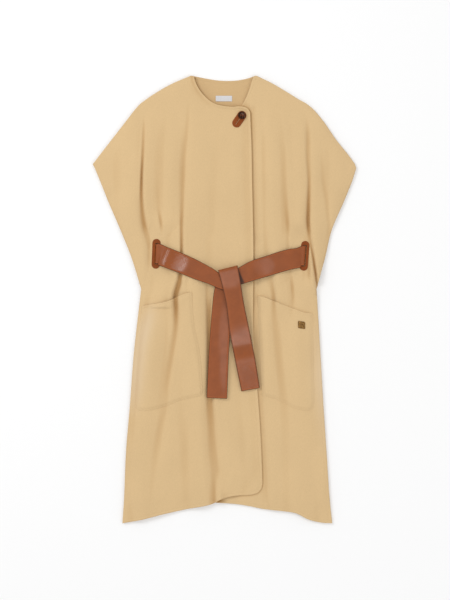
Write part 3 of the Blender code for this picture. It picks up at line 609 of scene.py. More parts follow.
def belt_rise(out, drop, spare):
    """How far the hidden stretch of belt pushes up what lies over it."""
    away = to_path(INNER_BELT, out, drop) - BELT_WIDTH / 2 - spare
    return (BELT_THICK + GAP) * (1 - smooth(away / BELT_EASE))


def fold_at(line, out, drop):
    """How far beside a fold's line places lie, and how tall or deep the fold is there."""
    tall = np.where((drop >= line[0][0]) & (drop <= line[-1][0]), curve(line, drop, 2), 0)
    return out - curve(line, drop), np.maximum(tall, 0)


def ridges(table, side, out, drop):
    total = np.zeros(np.broadcast(out, drop).shape)
    for inner, outer, *crest in table[side]:
        away, tall = fold_at(crest, out, drop)
        share = np.clip(np.abs(away) / np.where(away * side > 0, outer, inner), 0, 1)
        total = total + tall * (1 - share * share) ** 2
    return total


def bell(line, out, drop):
    """How tall a line's bell-shaped section is at places beside it."""
    away, tall = fold_at(line, out, drop)
    away = away / curve(line, drop, 3)
    return tall * np.exp(-away * away)


def ripples(out, drop):
    """The slow unevenness of soft cloth that lies by itself."""
    total = 0
    for turn, length, phase in WAVES:
        way = np.pi * (turn - 0.5) * WAVE_TURN
        wave = WAVE_LENGTH + WAVE_RANGE * length
        total = total + np.sin(2 * np.pi * ((out * np.cos(way) + drop * np.sin(way)) / wave + phase))
    return WAVE_HEIGHT * total


def seam_share(side, out, drop):
    """0 at the shoulder, overarm and side seams, and 1 away from them."""
    across = np.abs(outline(side, drop)) - out * side
    down = (drop - top_edge(side, out)) * SHOULDER_PITCH
    down = np.where(np.abs(out) > SHOULDER_START, down, EDGE_ROUND)
    near = np.clip(np.minimum(across, down) / EDGE_ROUND, 0, 1)
    return np.sqrt(near * (2 - near))


def under_overlap(out, drop):
    """0 where the left front lies under the right one, and 1 clear of it."""
    beside = out - free_edge(RIGHT, drop)
    above = top_edge(RIGHT, out) - drop
    return smooth((np.maximum(beside, above) - OVERLAP_MARGIN) / OVERLAP_EASE)


def soft_over(floor, height, ease=1.5):
    """The higher of two heights, with a soft change from one to the other."""
    above = height - floor
    eased = np.where(above > ease, above, (np.maximum(above, -ease) + ease) ** 2 / (4 * ease))
    return floor + eased


def flat_at_slit(side, out, drop, height):
    """A front's height, brought to the level of the flat ground round its slit."""
    middle, level, _ = SLITS[side]
    away = (out - middle) * side
    reaches = (away, -away, np.abs(drop - level))
    share = [(reach - flat) / ease for reach, (flat, ease) in zip(reaches, SLIT_GROUND)]
    share = 1 - smooth(np.maximum.reduce(share))
    return height * (1 - share) + (ON_BELT + SLIT_LIFT) * share


def edge_curl(out, drop):
    """How far the right front's free edge and neckline stand off what they lie on."""
    beside = free_edge(RIGHT, drop) - out
    neck = np.where(np.abs(out) < NECK_HALF, drop - top_edge(RIGHT, out), CURL_REACH)
    by_edge = np.clip(1 - beside / CURL_REACH, 0, 1) ** 2 * curve(EDGE_CURL, drop)
    by_neck = np.clip(1 - neck / CURL_REACH, 0, 1) ** 2 * NECK_CURL
    return np.maximum(by_edge, by_neck) * smooth((hem_edge(RIGHT, out) - drop) / CURL_END)


def rest_left(out, drop):
    """Height of the underside of the left front."""
    floor = ON_BACK + belt_rise(out, drop, UNDER_BELT[LEFT])
    clear = under_overlap(out, drop)
    share = clear * seam_share(LEFT, out, drop)
    near_hem = smooth((hem_edge(LEFT, out) - drop) / HEM_EASE)
    lift = (LOFT * near_hem + ridges(RIDGES, LEFT, out, drop) + ripples(out, drop)) * share
    sunk = sum(bell(line, out, drop) for line in TROUGHS[LEFT])
    lift = lift + ridges(CUFFS, LEFT, out, drop) - sunk * clear
    return flat_at_slit(LEFT, out, drop, np.where(share > 0, soft_over(floor, ON_BACK + lift), floor))


def rest_right(out, drop):
    """Height of the underside of the right front, which lies over the left one."""
    over_left = smooth((out - free_edge(LEFT, drop) + EDGE_EASE) / BELT_EASE)
    floor = ON_BACK + belt_rise(out, drop, UNDER_BELT[RIGHT]) + LAYER * over_left
    near_hem = smooth((hem_edge(RIGHT, out) - drop) / HEM_EASE)
    near_edge = smooth((free_edge(RIGHT, drop) - out) / EDGE_EASE)
    lift = LOFT * near_hem * near_edge + ridges(RIDGES, RIGHT, out, drop) + ripples(out, drop) * near_edge
    sunk = sum(bell(line, out, drop) for line in TROUGHS[RIGHT])
    free = soft_over(floor, ON_BACK + lift * seam_share(RIGHT, out, drop) - sunk)
    return flat_at_slit(RIGHT, out, drop, free + edge_curl(out, drop))


REST = {RIGHT: rest_right, LEFT: rest_left}


def coat_top(out, drop):
    """Height of the upper side of the fronts, wherever one of them lies."""
    left = rest_left(out, drop)
    height = np.where(out <= free_edge(RIGHT, drop) + EDGE_SPARE, rest_right(out, drop), left)
    return np.maximum(height, left * (out > OVERLAP_START)) + CLOTH


def mouth_lift(side, out, drop):
    """How far a pocket's upper edge stands off the coat."""
    down = drop - straight(sorted(POCKETS[side][0]), out)
    total = MOUTH_LIFT
    for middle, reach, lift in MOUTHS[side]:
        total = total + lift * np.exp(-(((out - middle) / reach) ** 2))
    return total * (1 - smooth(down / MOUTH_DEPTH)) ** 2


def rest_pocket(side, out, drop):
    """Height of the underside of a pocket, whose sewn edges are pressed into the coat."""
    line = closed(*POCKETS[side][1:], pitch=1.5)
    line = np.vstack([line, POCKETS[side][0][:1]])
    away = nearest(np.column_stack([np.ravel(out), np.ravel(drop)]), line).reshape(np.shape(out))
    sewn = SEWN_DEEP * (1 - smooth(away / SEWN_REACH))
    return REST[side](out, drop) + LAYER + mouth_lift(side, out, drop) - sewn


def over(rest, height):
    """The surface this much above another one."""
    return lambda out, drop: rest(out, drop) + height


def level(height):
    return lambda out, drop: out * 0 + height


# ---- the cloth's painted shades


def right_border():
    """The right front's neckline, free edge and the start of its hem."""
    drops = np.arange(NECK_FRONT[RIGHT][-1][1], HEM_FRONT[RIGHT][-1][1], 30)
    edge = [(float(free_edge(RIGHT, drop)), drop) for drop in drops]
    hem = [spot for spot in HEM_FRONT[RIGHT][::-1] if spot[0] > BORDER_END]
    return trace(list(NECK_FRONT[RIGHT]) + edge[1:-1] + hem, BORDER_PITCH)


def border_places():
    """Rows of points just outside the right front's border, for what lies under it."""
    line = right_border()
    along = unit(np.gradient(line, axis=0))
    outward = np.stack([along[:, 1], -along[:, 0]], axis=1)
    return np.vstack([line + outward * reach for reach in BORDER_STEPS])


def border_shade(out, drop):
    """How dark the shade painted beside the right front's border is, where little light comes in, and in the
    hollow under its hem.
    """
    away = nearest(np.column_stack([out, drop]), right_border())
    share = curve(BORDER_SHADE, drop) * np.exp(-((away / BORDER_REACH) ** 2))
    # Shade painted in the hollow under the right front's hem.
    middle, level_at, across, down, deep = HEM_PAINTED_SHADE
    hollow = deep * np.exp(-(((out - middle) / across) ** 2) - ((drop - level_at) / down) ** 2)
    return np.maximum(share, hollow)


def back_shade(out, drop):
    """The shade painted on the inside of the back, under the fronts' neckline and beside the right front's
    border.
    """
    deep, half, foot, ease = NECK_SHADE
    share = deep * smooth((half - np.abs(out)) / ease) * smooth((foot - drop) / ease)
    return np.maximum(border_shade(out, drop), share)


def front_shade(side, out, drop):
    """0 on open cloth, and up to 1 where shade is painted: at the bottom of a fold, and on the left front
    beside the right front's border.
    """
    rest = REST[side]
    here = rest(out, drop)
    total = 0
    for reach, share, full in FOLD_SHADE:
        beside = (rest(out - reach, drop) + rest(out + reach, drop)) / 2
        total = total + share * (beside - here) / full
    return np.maximum(np.clip(total, 0, 1), 0 if side == RIGHT else border_shade(out, drop))


def mark(piece, **marks):
    """Gives a piece named values at its points, for its material."""
    for name, values in marks.items():
        attribute = piece.data.attributes.new(name, "FLOAT", "POINT")
        attribute.data.foreach_set("value", np.asarray(values).astype(np.float32))


# ---- meshes


def link(name, data):
    piece = bpy.data.objects.new(name, data)
    bpy.context.scene.collection.objects.link(piece)
    return piece


def add_mesh(name, points, faces, material):
    """An object from points in millimetres and faces."""
    mesh = bpy.data.meshes.new(name)
    mesh.from_pydata((np.array(points) * MM).tolist(), [], faces)
    mesh.materials.append(material)
    return link(name, mesh)


def add_piece(name, points, faces, material):
    """A smoothly shaded piece that rides on the root."""
    piece = add_mesh(name, points, faces, material)
    piece.data.polygons.foreach_set("use_smooth", [True] * len(piece.data.polygons))
    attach(piece, "root")
    return piece


def tube(rings, size, base=0):
    """The faces of a closed tube of rings: its sides, and a cap at each end."""
    last = base + size * (rings - 1)
    faces = [tuple(base + n for n in reversed(range(size))), tuple(last + n for n in range(size))]
    for start in range(base, last, size):
        for n in range(size):
            a, b = start + n, start + (n + 1) % size
            faces.append((a, b, b + size, a + size))
    return faces


def turned(profile, sides):
    """A closed solid of revolution, as points in millimetres and faces."""
    angles = np.linspace(0, 2 * np.pi, sides, endpoint=False)
    points = [(r * np.cos(a), r * np.sin(a), z) for r, z in profile for a in angles]
    return np.array(points), tube(len(profile), sides)


def face_outward(piece):
    """Turns a closed mesh's faces outward."""
    mesh = piece.data
    points = np.array([vert.co for vert in mesh.vertices])
    mesh.calc_loop_triangles()
    corners = points[np.array([list(face.vertices) for face in mesh.loop_triangles])]
    if np.linalg.det(corners).sum() < 0:
        mesh.flip_normals()


def lattice(border, pitch):
    low, high = border.min(axis=0), border.max(axis=0)
    rows = np.arange(low[1], high[1], pitch * ROW_SHARE)
    x, y = np.meshgrid(np.arange(low[0], high[0], pitch), rows)
    x = x + (np.arange(len(rows))[:, None] % 2) * pitch / 2
    return np.stack([x.ravel(), y.ravel()], axis=1)


def shell(name, border, under, thickness, material, slot, pitch=PITCH, seam=None, holes=(), extra=None):
    """A closed sheet with round edges: its border and holes are places, and under gives its underside.

    Its plan is cut into triangles.  The upper side and the underside share the points of the rim.
    """
    half = thickness / 2
    loops = [in_plane(loop) for loop in (border, *holes)]
    spots, sunk, rounded, links = [], [], [], []
    count = 0
    for which, loop in enumerate(loops):
        steps = [(0, half), (EDGE_STEP * half, EDGE_STEP * half), (half, 0)]
        if seam is not None and which == 0:
            steps += [(seam + step, deep) for step, deep in SEAM]
        for distance, below in steps:
            ring = inset(loop, -distance if which else distance) if distance else loop
            spots.append(ring)
            sunk += [below] * len(ring)
            rounded += [below if distance <= half else 0] * len(ring)
            links += [(count + n, count + (n + 1) % len(ring)) for n in range(len(ring))]
            count += len(ring)

    def inside(points):
        keep = within(points, loops[0])
        for hole in loops[1:]:
            keep &= ~within(points, hole)
        return keep

    fill = lattice(loops[0], pitch)
    if extra is not None:
        extra = in_plane(extra)
        extra = extra[nearest(extra, np.vstack(spots)) > EXTRA_CLEAR]
        fill = np.vstack([extra, fill[nearest(fill, extra) > pitch * EXTRA_SHARE]])
    fill = fill[inside(fill)]
    fill = fill[nearest(fill, np.vstack(spots)) > pitch * FILL_SHARE]
    spots.append(fill)
    cut = delaunay_2d_cdt([Vector(spot) for spot in np.vstack(spots)], links, [], 0, 1e-4)
    flat = np.array([vert[:] for vert in cut[0]])
    sunk, rounded = (
        np.array([max((values[n] for n in origin if n < count), default=0) for origin in cut[3]])
        for values in (sunk, rounded)
    )
    rim = rounded >= half - 1e-6
    faces = np.array(cut[2])
    faces = faces[inside(flat[faces].mean(axis=1))]
    faces = faces[~rim[faces].all(axis=1)]
    low = under(flat[:, 0], MIDDLE - flat[:, 1])
    top = np.column_stack([flat, low + thickness - sunk])
    below = np.column_stack([flat, low + rounded])
    below_at = np.where(rim, np.arange(len(flat)), np.cumsum(~rim) - 1 + len(flat))
    faces = np.vstack([faces, below_at[faces[:, ::-1]]]).tolist()
    return add_piece(name, np.vstack([top, below[~rim]]), faces, material)


def read_line(line, reach, at):
    return np.array([np.interp(at, reach, column) for column in line.T])


def stitches(name, kind, lines, material):
    """A row of small thread capsules along each line, which is points and upward normals."""
    pitch, length, radius, slot = STITCHES[kind]
    points, faces = [], []
    for line, normals in lines:
        reach = lengths(line)
        for start in np.arange(0, reach[-1] - length, pitch):
            faces += tube(len(STITCH_SHAPE), STITCH_SIDES, len(points))
            for share, wide in STITCH_SHAPE:
                at = start + share * length
                spot = read_line(line, reach, at)
                ahead = read_line(line, reach, at + 0.5) - read_line(line, reach, at - 0.5)
                up = read_line(normals, reach, at)
                beside = np.cross(ahead, up)
                beside = beside / np.linalg.norm(beside)
                for n in range(STITCH_SIDES):
                    angle = 2 * np.pi * n / STITCH_SIDES
                    points.append(spot + wide * radius * (np.cos(angle) * beside + np.sin(angle) * up))
    face_outward(add_piece(name, points, faces, material))


def on_sheet(places, height):
    """A stitch line on a sheet: its points, and upward normals."""
    outs, drops = np.asarray(places, float).T
    points = np.column_stack([in_plane(places), height(outs, drops)])
    return points, np.tile((0.0, 0.0, 1.0), (len(points), 1))


# ---- the belt


def resampled(values, reach, at):
    """Smooth lines through each column of values, read at other distances along."""
    values = np.asarray(values, float)
    return np.stack([curve(np.column_stack([reach, column]), at) for column in values.T], axis=1)


def plan_path(rows, count):
    """Evenly spread stations along a path, as (out, drop, width)."""
    table = np.array(rows, float)
    reach = lengths(table[:, :2])
    return resampled(table, reach, np.linspace(0, reach[-1], count))


def across_path(stations):
    along = unit(np.gradient(stations[:, :2], axis=0))
    return np.stack([-along[:, 1], along[:, 0]], axis=1)


def world_across(stations):
    across = across_path(stations)
    return np.stack([across[:, 0], -across[:, 1], np.zeros(len(across))], axis=1)


def upward(ways):
    return ways * np.where(ways[:, 1:2] < 0, -1, 1)


def at_height(stations, heights):
    """World points of stations, in millimetres."""
    return np.column_stack([in_plane(stations[:, :2]), heights])


def lie_heights(stations, others=0):
    """The height at which a belt along these stations lies on the coat without touching it."""
    across = across_path(stations)
    outs = stations[:, 0:1] + across[:, 0:1] * stations[:, 2:3] * ACROSS_SHARES
    drops = stations[:, 1:2] + across[:, 1:2] * stations[:, 2:3] * ACROSS_SHARES
    need = np.pad(np.maximum(coat_top(outs, drops).max(axis=1), others), 2, mode="edge")
    wide = np.maximum.reduce([np.roll(need, n)[2:-2] for n in range(-2, 3)])
    eased = np.convolve(np.pad(wide, 1, mode="edge"), EASED, mode="valid")
    return eased + GAP + BELT_SPARE


def belt_profile(width):
    """(across, height) round the belt's section, for its full width."""
    def crown(step):
        edge = np.sqrt(1 - (1 - min(step / (BELT_THICK / 2), 1)) ** 2) * BELT_THICK / 2
        groove = GROOVE[0] * np.exp(-((step - STITCH_IN) / GROOVE[1]) ** 2)
        bead = BEAD[0] * np.exp(-((step - BEAD[1]) / BEAD[2]) ** 2)
        return edge + bead - groove + CROWN * min(step / TOP_STEPS[-1], 1)

    half = width / 2
    seam = STITCH_IN + 1
    narrow = min(1, (half - seam - 1) / (TOP_STEPS[-1] - seam))
    steps = [min(step, seam) + max(step - seam, 0) * narrow for step in TOP_STEPS]
    top = [(half - step, crown(step)) for step in steps]
    under = [(half - step, -min(crown(step), BELT_THICK / 2)) for step in UNDER_STEPS]
    section = [(-across, height) for across, height in top] + [(0.0, BELT_THICK / 2 + CROWN)] + top[::-1]
    return np.array(section + under + [(-across, height) for across, height in reversed(under)])


def ribbon(name, node, centres, across, widths, material):
    """A belt stretch: the belt's section swept through its centre points, with round ends.

    Gives the two lines of its stitches.
    """
    centres = np.array(centres, float)
    reach = lengths(centres)
    inner = np.arange(CORNER + 1.2, reach[-1] - CORNER, BELT_PITCH)
    at = np.concatenate([END_STEPS, inner, reach[-1] - np.array(END_STEPS)[::-1]])
    line = resampled(centres, reach, at)
    ways = unit(resampled(across, reach, at))
    width = resampled(np.array(widths)[:, None], reach, at)[:, 0]
    facing = unit(np.cross(ways, np.gradient(line, axis=0)))
    facing = facing * np.where(facing[:1, 2:] < 0, -1, 1)
    to_end = np.minimum(at, reach[-1] - at)
    thin = np.sqrt(1 - (1 - np.clip(to_end / (BELT_THICK / 2), 0.02, 1)) ** 2)
    narrow = CORNER * (1 - np.sqrt(1 - (1 - np.clip(to_end / CORNER, 0, 1)) ** 2))
    places, inward = [], []
    for n in range(len(at)):
        section = belt_profile(width[n])
        beside = np.outer(section[:, 0] * (1 - 2 * narrow[n] / width[n]), ways[n])
        places.append(line[n] + beside + np.outer(section[:, 1] * thin[n], facing[n]))
        inward.append(np.minimum(width[n] / 2 - np.abs(section[:, 0]), to_end[n]))
    size = len(places[0])
    places, inward = np.vstack(places), np.concatenate(inward)
    piece = add_piece(name, places, tube(len(at), size), material)
    piece.data.validate()
    out, drop = places[:, 0], MIDDLE - places[:, 1]
    # The painted edge, and on the left strap the shade painted in the knot's hollow.
    dark = smooth((PAINT[0] - inward) / PAINT[1])
    if name == "leather_strap_left":
        dark = np.maximum(dark, knot_hollow(out, drop))
    # A pale line painted inside the edge as a painted highlight.
    bead = np.exp(-(((inward - PAINTED_HIGHLIGHT_LINE[0]) / PAINTED_HIGHLIGHT_LINE[1]) ** 2))
    mark(piece, paint=dark, bead=bead, rubbed=rubbed_share(name, out, drop))
    face_outward(piece)
    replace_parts(piece, node)
    seams = []
    kept = slice(5, len(at) - 5)
    for sign in (-1, 1):
        beside = ways * (sign * (width / 2 - STITCH_IN))[:, None]
        seam = line + beside + facing * (BELT_THICK / 2 - THREAD_SINK)
        seams.append((seam[kept], facing[kept]))
    return seams


def rubbed_share(name, out, drop):
    """How smooth a belt stretch is rubbed, so that it shines."""
    total = np.zeros(len(out))
    for middle, level_at, across, down, share in RUBBED.get(name, ()):
        away = np.hypot((out - middle) / across, (drop - level_at) / down)
        total = np.maximum(total, share * smooth((RUBBED_RIM[0] - away) / RUBBED_RIM[1]))
    return total


def knot_hollow(out, drop):
    """Up to 1 in the hollow where the left strap goes in under the front turn: shade painted on the strap.
    """
    top, foot, start, wide, ease = KNOT_PAINTED_SHADE
    reach = start + wide * np.clip((drop - top) / (foot - top), 0, 1)
    return smooth((reach - out) / ease) * (drop > top)


def slit_direction(side):
    lean = SLITS[side][2]
    return np.array((2 * lean, SLIT_LENGTH, 0)) / np.hypot(2 * lean, SLIT_LENGTH)


def slit_turn(side):
    """The centres of the belt's turn through a slit, and the height of its run on top."""
    middle, drop, _ = SLITS[side]
    low = ON_BACK + BELT_THICK / 2
    high = ON_BELT + SLIT_LIFT + CLOTH + GAP + LEATHER + GAP + BELT_THICK / 2
    lip = middle - side * SLIT_WIDTH / 2
    centres = [to_world(lip - side * 2.5, drop, high)]
    for n in range(TURN_STEPS + 1):
        angle = np.pi * n / TURN_STEPS
        height = (high + low) / 2 + (high - low) / 2 * np.cos(angle)
        centres.append(to_world(lip + side * (high - low) / 2 * np.sin(angle), drop, height))
    return centres + [to_world(lip - side * reach, drop, low) for reach in (3, TURN_TAIL)], high


def strap(side, end, height, material):
    """The stretch from a slit to the knot, which it reaches at this height."""
    middle, drop, _ = SLITS[side]
    start = (middle - side * STRAP_START[0], drop + STRAP_START[1], BELT_WIDTH)
    stations = plan_path((start,) + STRAPS[side], STATIONS)[::-1]
    turn, high = slit_turn(side)
    near_slit = smooth((SLIT_REACH - np.abs(stations[:, 0] - middle)) / SLIT_EASE)
    near_knot = smooth((KNOT_REACH - np.abs(stations[:, 0] - KNOT[0])) / (KNOT_REACH - KNOT_FLAT))
    heights = np.maximum(lie_heights(stations) + BELT_THICK / 2, high * near_slit)
    heights = heights * (1 - near_knot) + (height + BELT_THICK / 2) * near_knot
    centres = np.vstack([at_height(stations, heights), turn])
    across = np.vstack([upward(world_across(stations))] + [slit_direction(side)] * len(turn))
    widths = list(stations[:, 2]) + [BELT_WIDTH] * len(turn)
    return ribbon("leather_strap_" + end, "belt_strap_" + end, centres, across, widths, material)


def inner_belt(material):
    stations = plan_path(INNER_BELT, STATIONS)
    for n, side in ((0, RIGHT), (-1, LEFT)):
        middle, drop, _ = SLITS[side]
        stations[n, :2] = middle - side * (SLIT_WIDTH / 2 + TURN_TAIL + GAP), drop
    across = upward(world_across(stations))
    across[0], across[-1] = slit_direction(RIGHT), slit_direction(LEFT)
    centres = at_height(stations, np.full(len(stations), ON_BACK + BELT_THICK / 2))
    return ribbon("leather_inner", "belt_inner", centres, across, [BELT_WIDTH] * len(centres), material)


def back_end(material):
    """The end that hangs out from behind the knot, with the heights of its upper side by drop."""
    stations = plan_path(BACK_END, STATIONS)
    heights = lie_heights(stations)
    centres = at_height(stations, heights + BELT_THICK / 2)
    across = world_across(stations)
    seams = ribbon("leather_end_back", "belt_end_back", centres, across, stations[:, 2], material)
    return seams, (stations[:, 1], heights + BELT_THICK)


def front_end(low, high, below, material):
    """The end that turns over the knot and hangs in front."""
    stations = plan_path(FRONT_END, FRONT_STATIONS)
    drops = stations[:, 1]
    heights = lie_heights(stations, np.where(drops < BACK_END_FOOT, np.interp(drops, *below), 0))
    hanging = drops > HANG_START
    line = np.linspace(heights[hanging][0], heights[-1], hanging.sum())
    heights[hanging] = np.maximum(heights[hanging], line)
    on_knot = 1 - smooth((drops - KNOT_FOOT) / KNOT_EASE)
    heights = np.maximum(heights, heights * (1 - on_knot) + high * on_knot) + BELT_THICK / 2
    down = unit(np.diff(stations[:2, :2], axis=0))[0]
    radius = (high - low) / 2
    middle = low + radius + BELT_THICK / 2
    hub = stations[0, :2] + down * (radius + BELT_THICK / 2)
    turn = [to_world(*(hub + down * reach), middle - radius) for reach in KNOT_TAIL]
    for n in range(TURN_STEPS + 1):
        angle = np.pi * (1 - n / TURN_STEPS)
        turn.append(to_world(*(hub - down * radius * np.sin(angle)), middle + radius * np.cos(angle)))
    keep = drops > hub[1] + 3
    centres = np.vstack([turn, at_height(stations[keep], heights[keep])])
    across = world_across(stations)
    ways = [across[0]] * len(turn) + list(across[keep])
    widths = [stations[0, 2]] * len(turn) + list(stations[keep, 2])
    return ribbon("leather_end_front", "belt_end_front", centres, ways, widths, material)


def belt(material):
    """All stretches of the belt, the lower before the upper.  Gives their stitch lines."""
    outs, drops = np.meshgrid(np.linspace(*KNOT_GROUND[0], 17), np.linspace(*KNOT_GROUND[1], 15))
    step = BELT_THICK + GAP
    seams = inner_belt(material)
    ends, below = back_end(material)
    seams += ends
    base = max(coat_top(outs, drops).max() + GAP + BELT_SPARE, below[1][below[0] < 560].max() - BELT_THICK)
    seams += strap(LEFT, "left", base + step, material)
    seams += strap(RIGHT, "right", base + 2 * step, material)
    return seams + front_end(base, base + 3 * step + KNOT_LOOSE, below, material)


# ---- materials


class Nodes:
    """A material, with short ways to add and link its nodes."""

    def __init__(self, name, colour, **inputs):
        self.material = bpy.data.materials.new(name)
        self.material.use_nodes = True
        self.tree = self.material.node_tree
        self.coords = self.add("TexCoord").outputs["Object"]
        self.shader(Base_Color=(*colour, 1), **inputs)

    def put(self, socket, value):
        """Gives a socket its own value, or links it to another socket."""
        if isinstance(value, bpy.types.NodeSocket):
            self.tree.links.new(value, socket)
        else:
            socket.default_value = value

    def fill(self, node, **inputs):
        for key, value in inputs.items():
            self.put(node.inputs[key.replace("_", " ")], value)
        return node

    def add(self, kind, **inputs):
        return self.fill(self.tree.nodes.new("ShaderNode" + kind), **inputs)

    def shader(self, **inputs):
        self.fill(self.tree.nodes["Principled BSDF"], **inputs)

    def noise(self, scale, stretch=(1, 1, 1), detail=3.0, roughness=0.6):
        place = self.add("Mapping", Scale=stretch, Vector=self.coords).outputs["Vector"]
        noise = self.add("TexNoise", Scale=scale, Detail=detail, Roughness=roughness, Vector=place)
        return noise.outputs["Fac"]

    def ranged(self, value, low, high, first, last):
        ranges = {"From_Min": low, "From_Max": high, "To_Min": first, "To_Max": last}
        return self.add("MapRange", Value=value, **ranges).outputs["Result"]

    def attribute(self, name):
        attribute = self.add("Attribute")
        attribute.attribute_name = name
        return attribute.outputs["Fac"]

    def math(self, operation, first, second):
        math = self.add("Math")
        math.operation = operation
        self.put(math.inputs[0], first)
        self.put(math.inputs[1], second)
        return math.outputs[0]

    def blend(self, share, first, second):
        """A colour between two, each a colour or another blend."""
        mix = self.add("Mix")
        mix.data_type = "RGBA"
        self.put(mix.inputs[0], share)
        for socket, value in ((mix.inputs[6], first), (mix.inputs[7], second)):
            self.put(socket, (*value, 1) if isinstance(value, tuple) else value)
        return mix.outputs[2]

    def bump(self, height, strength, distance):
        bump = self.add("Bump", Strength=strength, Distance=distance, Height=height)
        self.shader(Normal=bump.outputs["Normal"])


def shade(colour, factor):
    return tuple(min(channel * factor, 1) for channel in colour)


def cashmere_material():
    """Double-faced cashmere: short fibres that lie down the cloth, over a soft felted ground."""
    nodes = Nodes(
        "camel_cashmere", CAMEL, Roughness=0.92, Sheen_Weight=0.35, Sheen_Roughness=0.45,
        Sheen_Tint=(1.0, 0.9, 0.74, 1.0), Specular_IOR_Level=0.2,
    )
    fibres = nodes.noise(1500, (1.0, 0.16, 1.0), 4.0, 0.65)
    felt = nodes.noise(420, (1.0, 0.6, 1.0))
    cloud = nodes.noise(16, (1.0, 0.55, 1.0), 2.0, 0.5)
    colour = nodes.blend(nodes.ranged(cloud, 0.3, 0.7, 0, 1), shade(CAMEL, 0.975), shade(CAMEL, 1.02))
    colour = nodes.blend(nodes.ranged(felt, 0.35, 0.65, 0, 0.22), colour, shade(CAMEL, 0.80))
    colour = nodes.blend(nodes.ranged(fibres, 0.42, 0.72, 0, 0.42), colour, shade(CAMEL, 1.16))
    # A pale sheen painted on the cloth near its sides.
    brushed = nodes.math("MULTIPLY", nodes.attribute("brushed"), nodes.ranged(cloud, 0.3, 0.7, 0.75, 1))
    colour = nodes.blend(brushed, colour, CAMEL_PAINTED_SHEEN)
    # Shade painted into the folds, beside the right front's border, under its hem and inside the neck.
    colour = nodes.blend(nodes.ranged(nodes.attribute("hollow"), 0.03, 1.2, 0, 1), colour, CAMEL_PAINTED_SHADE)
    nodes.shader(Base_Color=colour)
    nodes.bump(nodes.math("ADD", fibres, nodes.math("MULTIPLY", felt, 0.8)), 0.35, 0.0006)
    return nodes.material


def leather_material(name, tan, specular):
    """Half-matt leather with a fine pebbled grain, painted edges with a painted highlight line, shade
    painted in the knot's hollow, and rubbed places.
    """
    nodes = Nodes(name, tan, Roughness=0.55, Specular_IOR_Level=specular)
    grain = nodes.add("TexVoronoi", Scale=1500, Vector=nodes.coords).outputs["Distance"]
    pores = nodes.noise(2600, detail=2.0)
    patina = nodes.noise(38)
    colour = nodes.blend(nodes.ranged(patina, 0.3, 0.7, 0, 1), shade(tan, 0.9), shade(tan, 1.1))
    colour = nodes.blend(nodes.ranged(grain, 0.25, 0.7, 0.28, 0), colour, shade(tan, 0.72))
    # A painted highlight line inside the edges.
    colour = nodes.blend(nodes.ranged(nodes.attribute("bead"), 0.1, 1.0, 0, 0.5), colour, shade(tan, 1.6))
    # The painted edges, and the shade painted in the knot's hollow.
    colour = nodes.blend(nodes.ranged(nodes.attribute("paint"), 0.1, 1.0, 0, 0.9), colour, shade(tan, 0.15))
    shine = nodes.math("ADD", nodes.ranged(patina, 0.3, 0.7, -0.04, 0.04), nodes.attribute("rubbed"))
    nodes.shader(Base_Color=colour, Roughness=nodes.ranged(shine, 0, 1, 0.55, 0.2))
    nodes.bump(nodes.math("SUBTRACT", nodes.math("MULTIPLY", pores, 0.3), grain), 0.12, 0.0003)
    return nodes.material


def horn_material():
    nodes = Nodes("dark_horn", HORN[0], Roughness=0.18, Specular_IOR_Level=0.12)
    streaks = nodes.noise(260, (1.0, 0.18, 1.0), 4.0)
    nodes.shader(Base_Color=nodes.blend(nodes.ranged(streaks, 0.42, 0.7, 0, 1), *HORN))
    return nodes.material


def brass_material():
    nodes = Nodes("aged_brass", BRASS[0], Roughness=0.4, Metallic=1.0)
    patina = nodes.noise(420, detail=4.0)
    colour = nodes.blend(nodes.ranged(patina, 0.4, 0.65, 0, 1), *BRASS)
    nodes.shader(Base_Color=colour, Roughness=nodes.ranged(patina, 0.35, 0.7, 0.3, 0.55))
    nodes.bump(nodes.noise(900, (0.08, 1.0, 1.0), 2.0), 0.25, 0.0002)
    return nodes.material


def woven_material(name, colour):
    """Closely woven tape or thread."""
    nodes = Nodes(name, colour, Roughness=0.75, Sheen_Weight=0.2)
    warp = nodes.noise(2400, (1.0, 0.25, 1.0), 2.0)
    weft = nodes.noise(2400, (0.25, 1.0, 1.0), 2.0)
    share = nodes.ranged(warp, 0.35, 0.7, 0, 1)
    nodes.shader(Base_Color=nodes.blend(share, shade(colour, 0.9), shade(colour, 1.08)))
    nodes.bump(nodes.math("ADD", warp, weft), 0.3, 0.0003)
    return nodes.material


# ---- cloth and trims


def cloth(name, node, rests_on, border, under, shades, material, **more):
    """A cloth piece, with its painted shade and its painted sheen marked for its material."""
    piece = shell(name, border, under, CLOTH, material, "cashmere", **more)
    points = np.array([vert.co for vert in piece.data.vertices]) / MM
    out, drop = points[:, 0], MIDDLE - points[:, 1]
    # A pale sheen painted on near the sides; the shades give the shade painted in folds and beside borders.
    brushed = np.maximum.reduce([bell(line, out, drop) for line in PAINTED_SHEEN_LINES])
    mark(piece, hollow=shades(out, drop), brushed=brushed)
    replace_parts(piece, node)


def back_border():
    right, left = side_runs(RIGHT), side_runs(LEFT)
    hem = [spot for spot in HEM_FRONT[LEFT] if spot[0] > HEM_BACK_ENDS[1]] + [HEM_BACK]
    hem += [spot for spot in HEM_FRONT[RIGHT] if spot[0] < HEM_BACK_ENDS[0]]
    hem = [(out, drop - HEM_INSET) for out, drop in sorted(hem, reverse=True)]
    left[-1] = left[-1][:-1] + [hem[0]]
    right[-1] = right[-1][:-1] + [hem[-1]]
    backward = [run[::-1] for run in reversed(right)]
    joins = (NECK_BACK[-1], left[0][0]), (right[0][0], NECK_BACK[0])
    return closed(NECK_BACK, joins[0], *left, hem, *backward, joins[1])


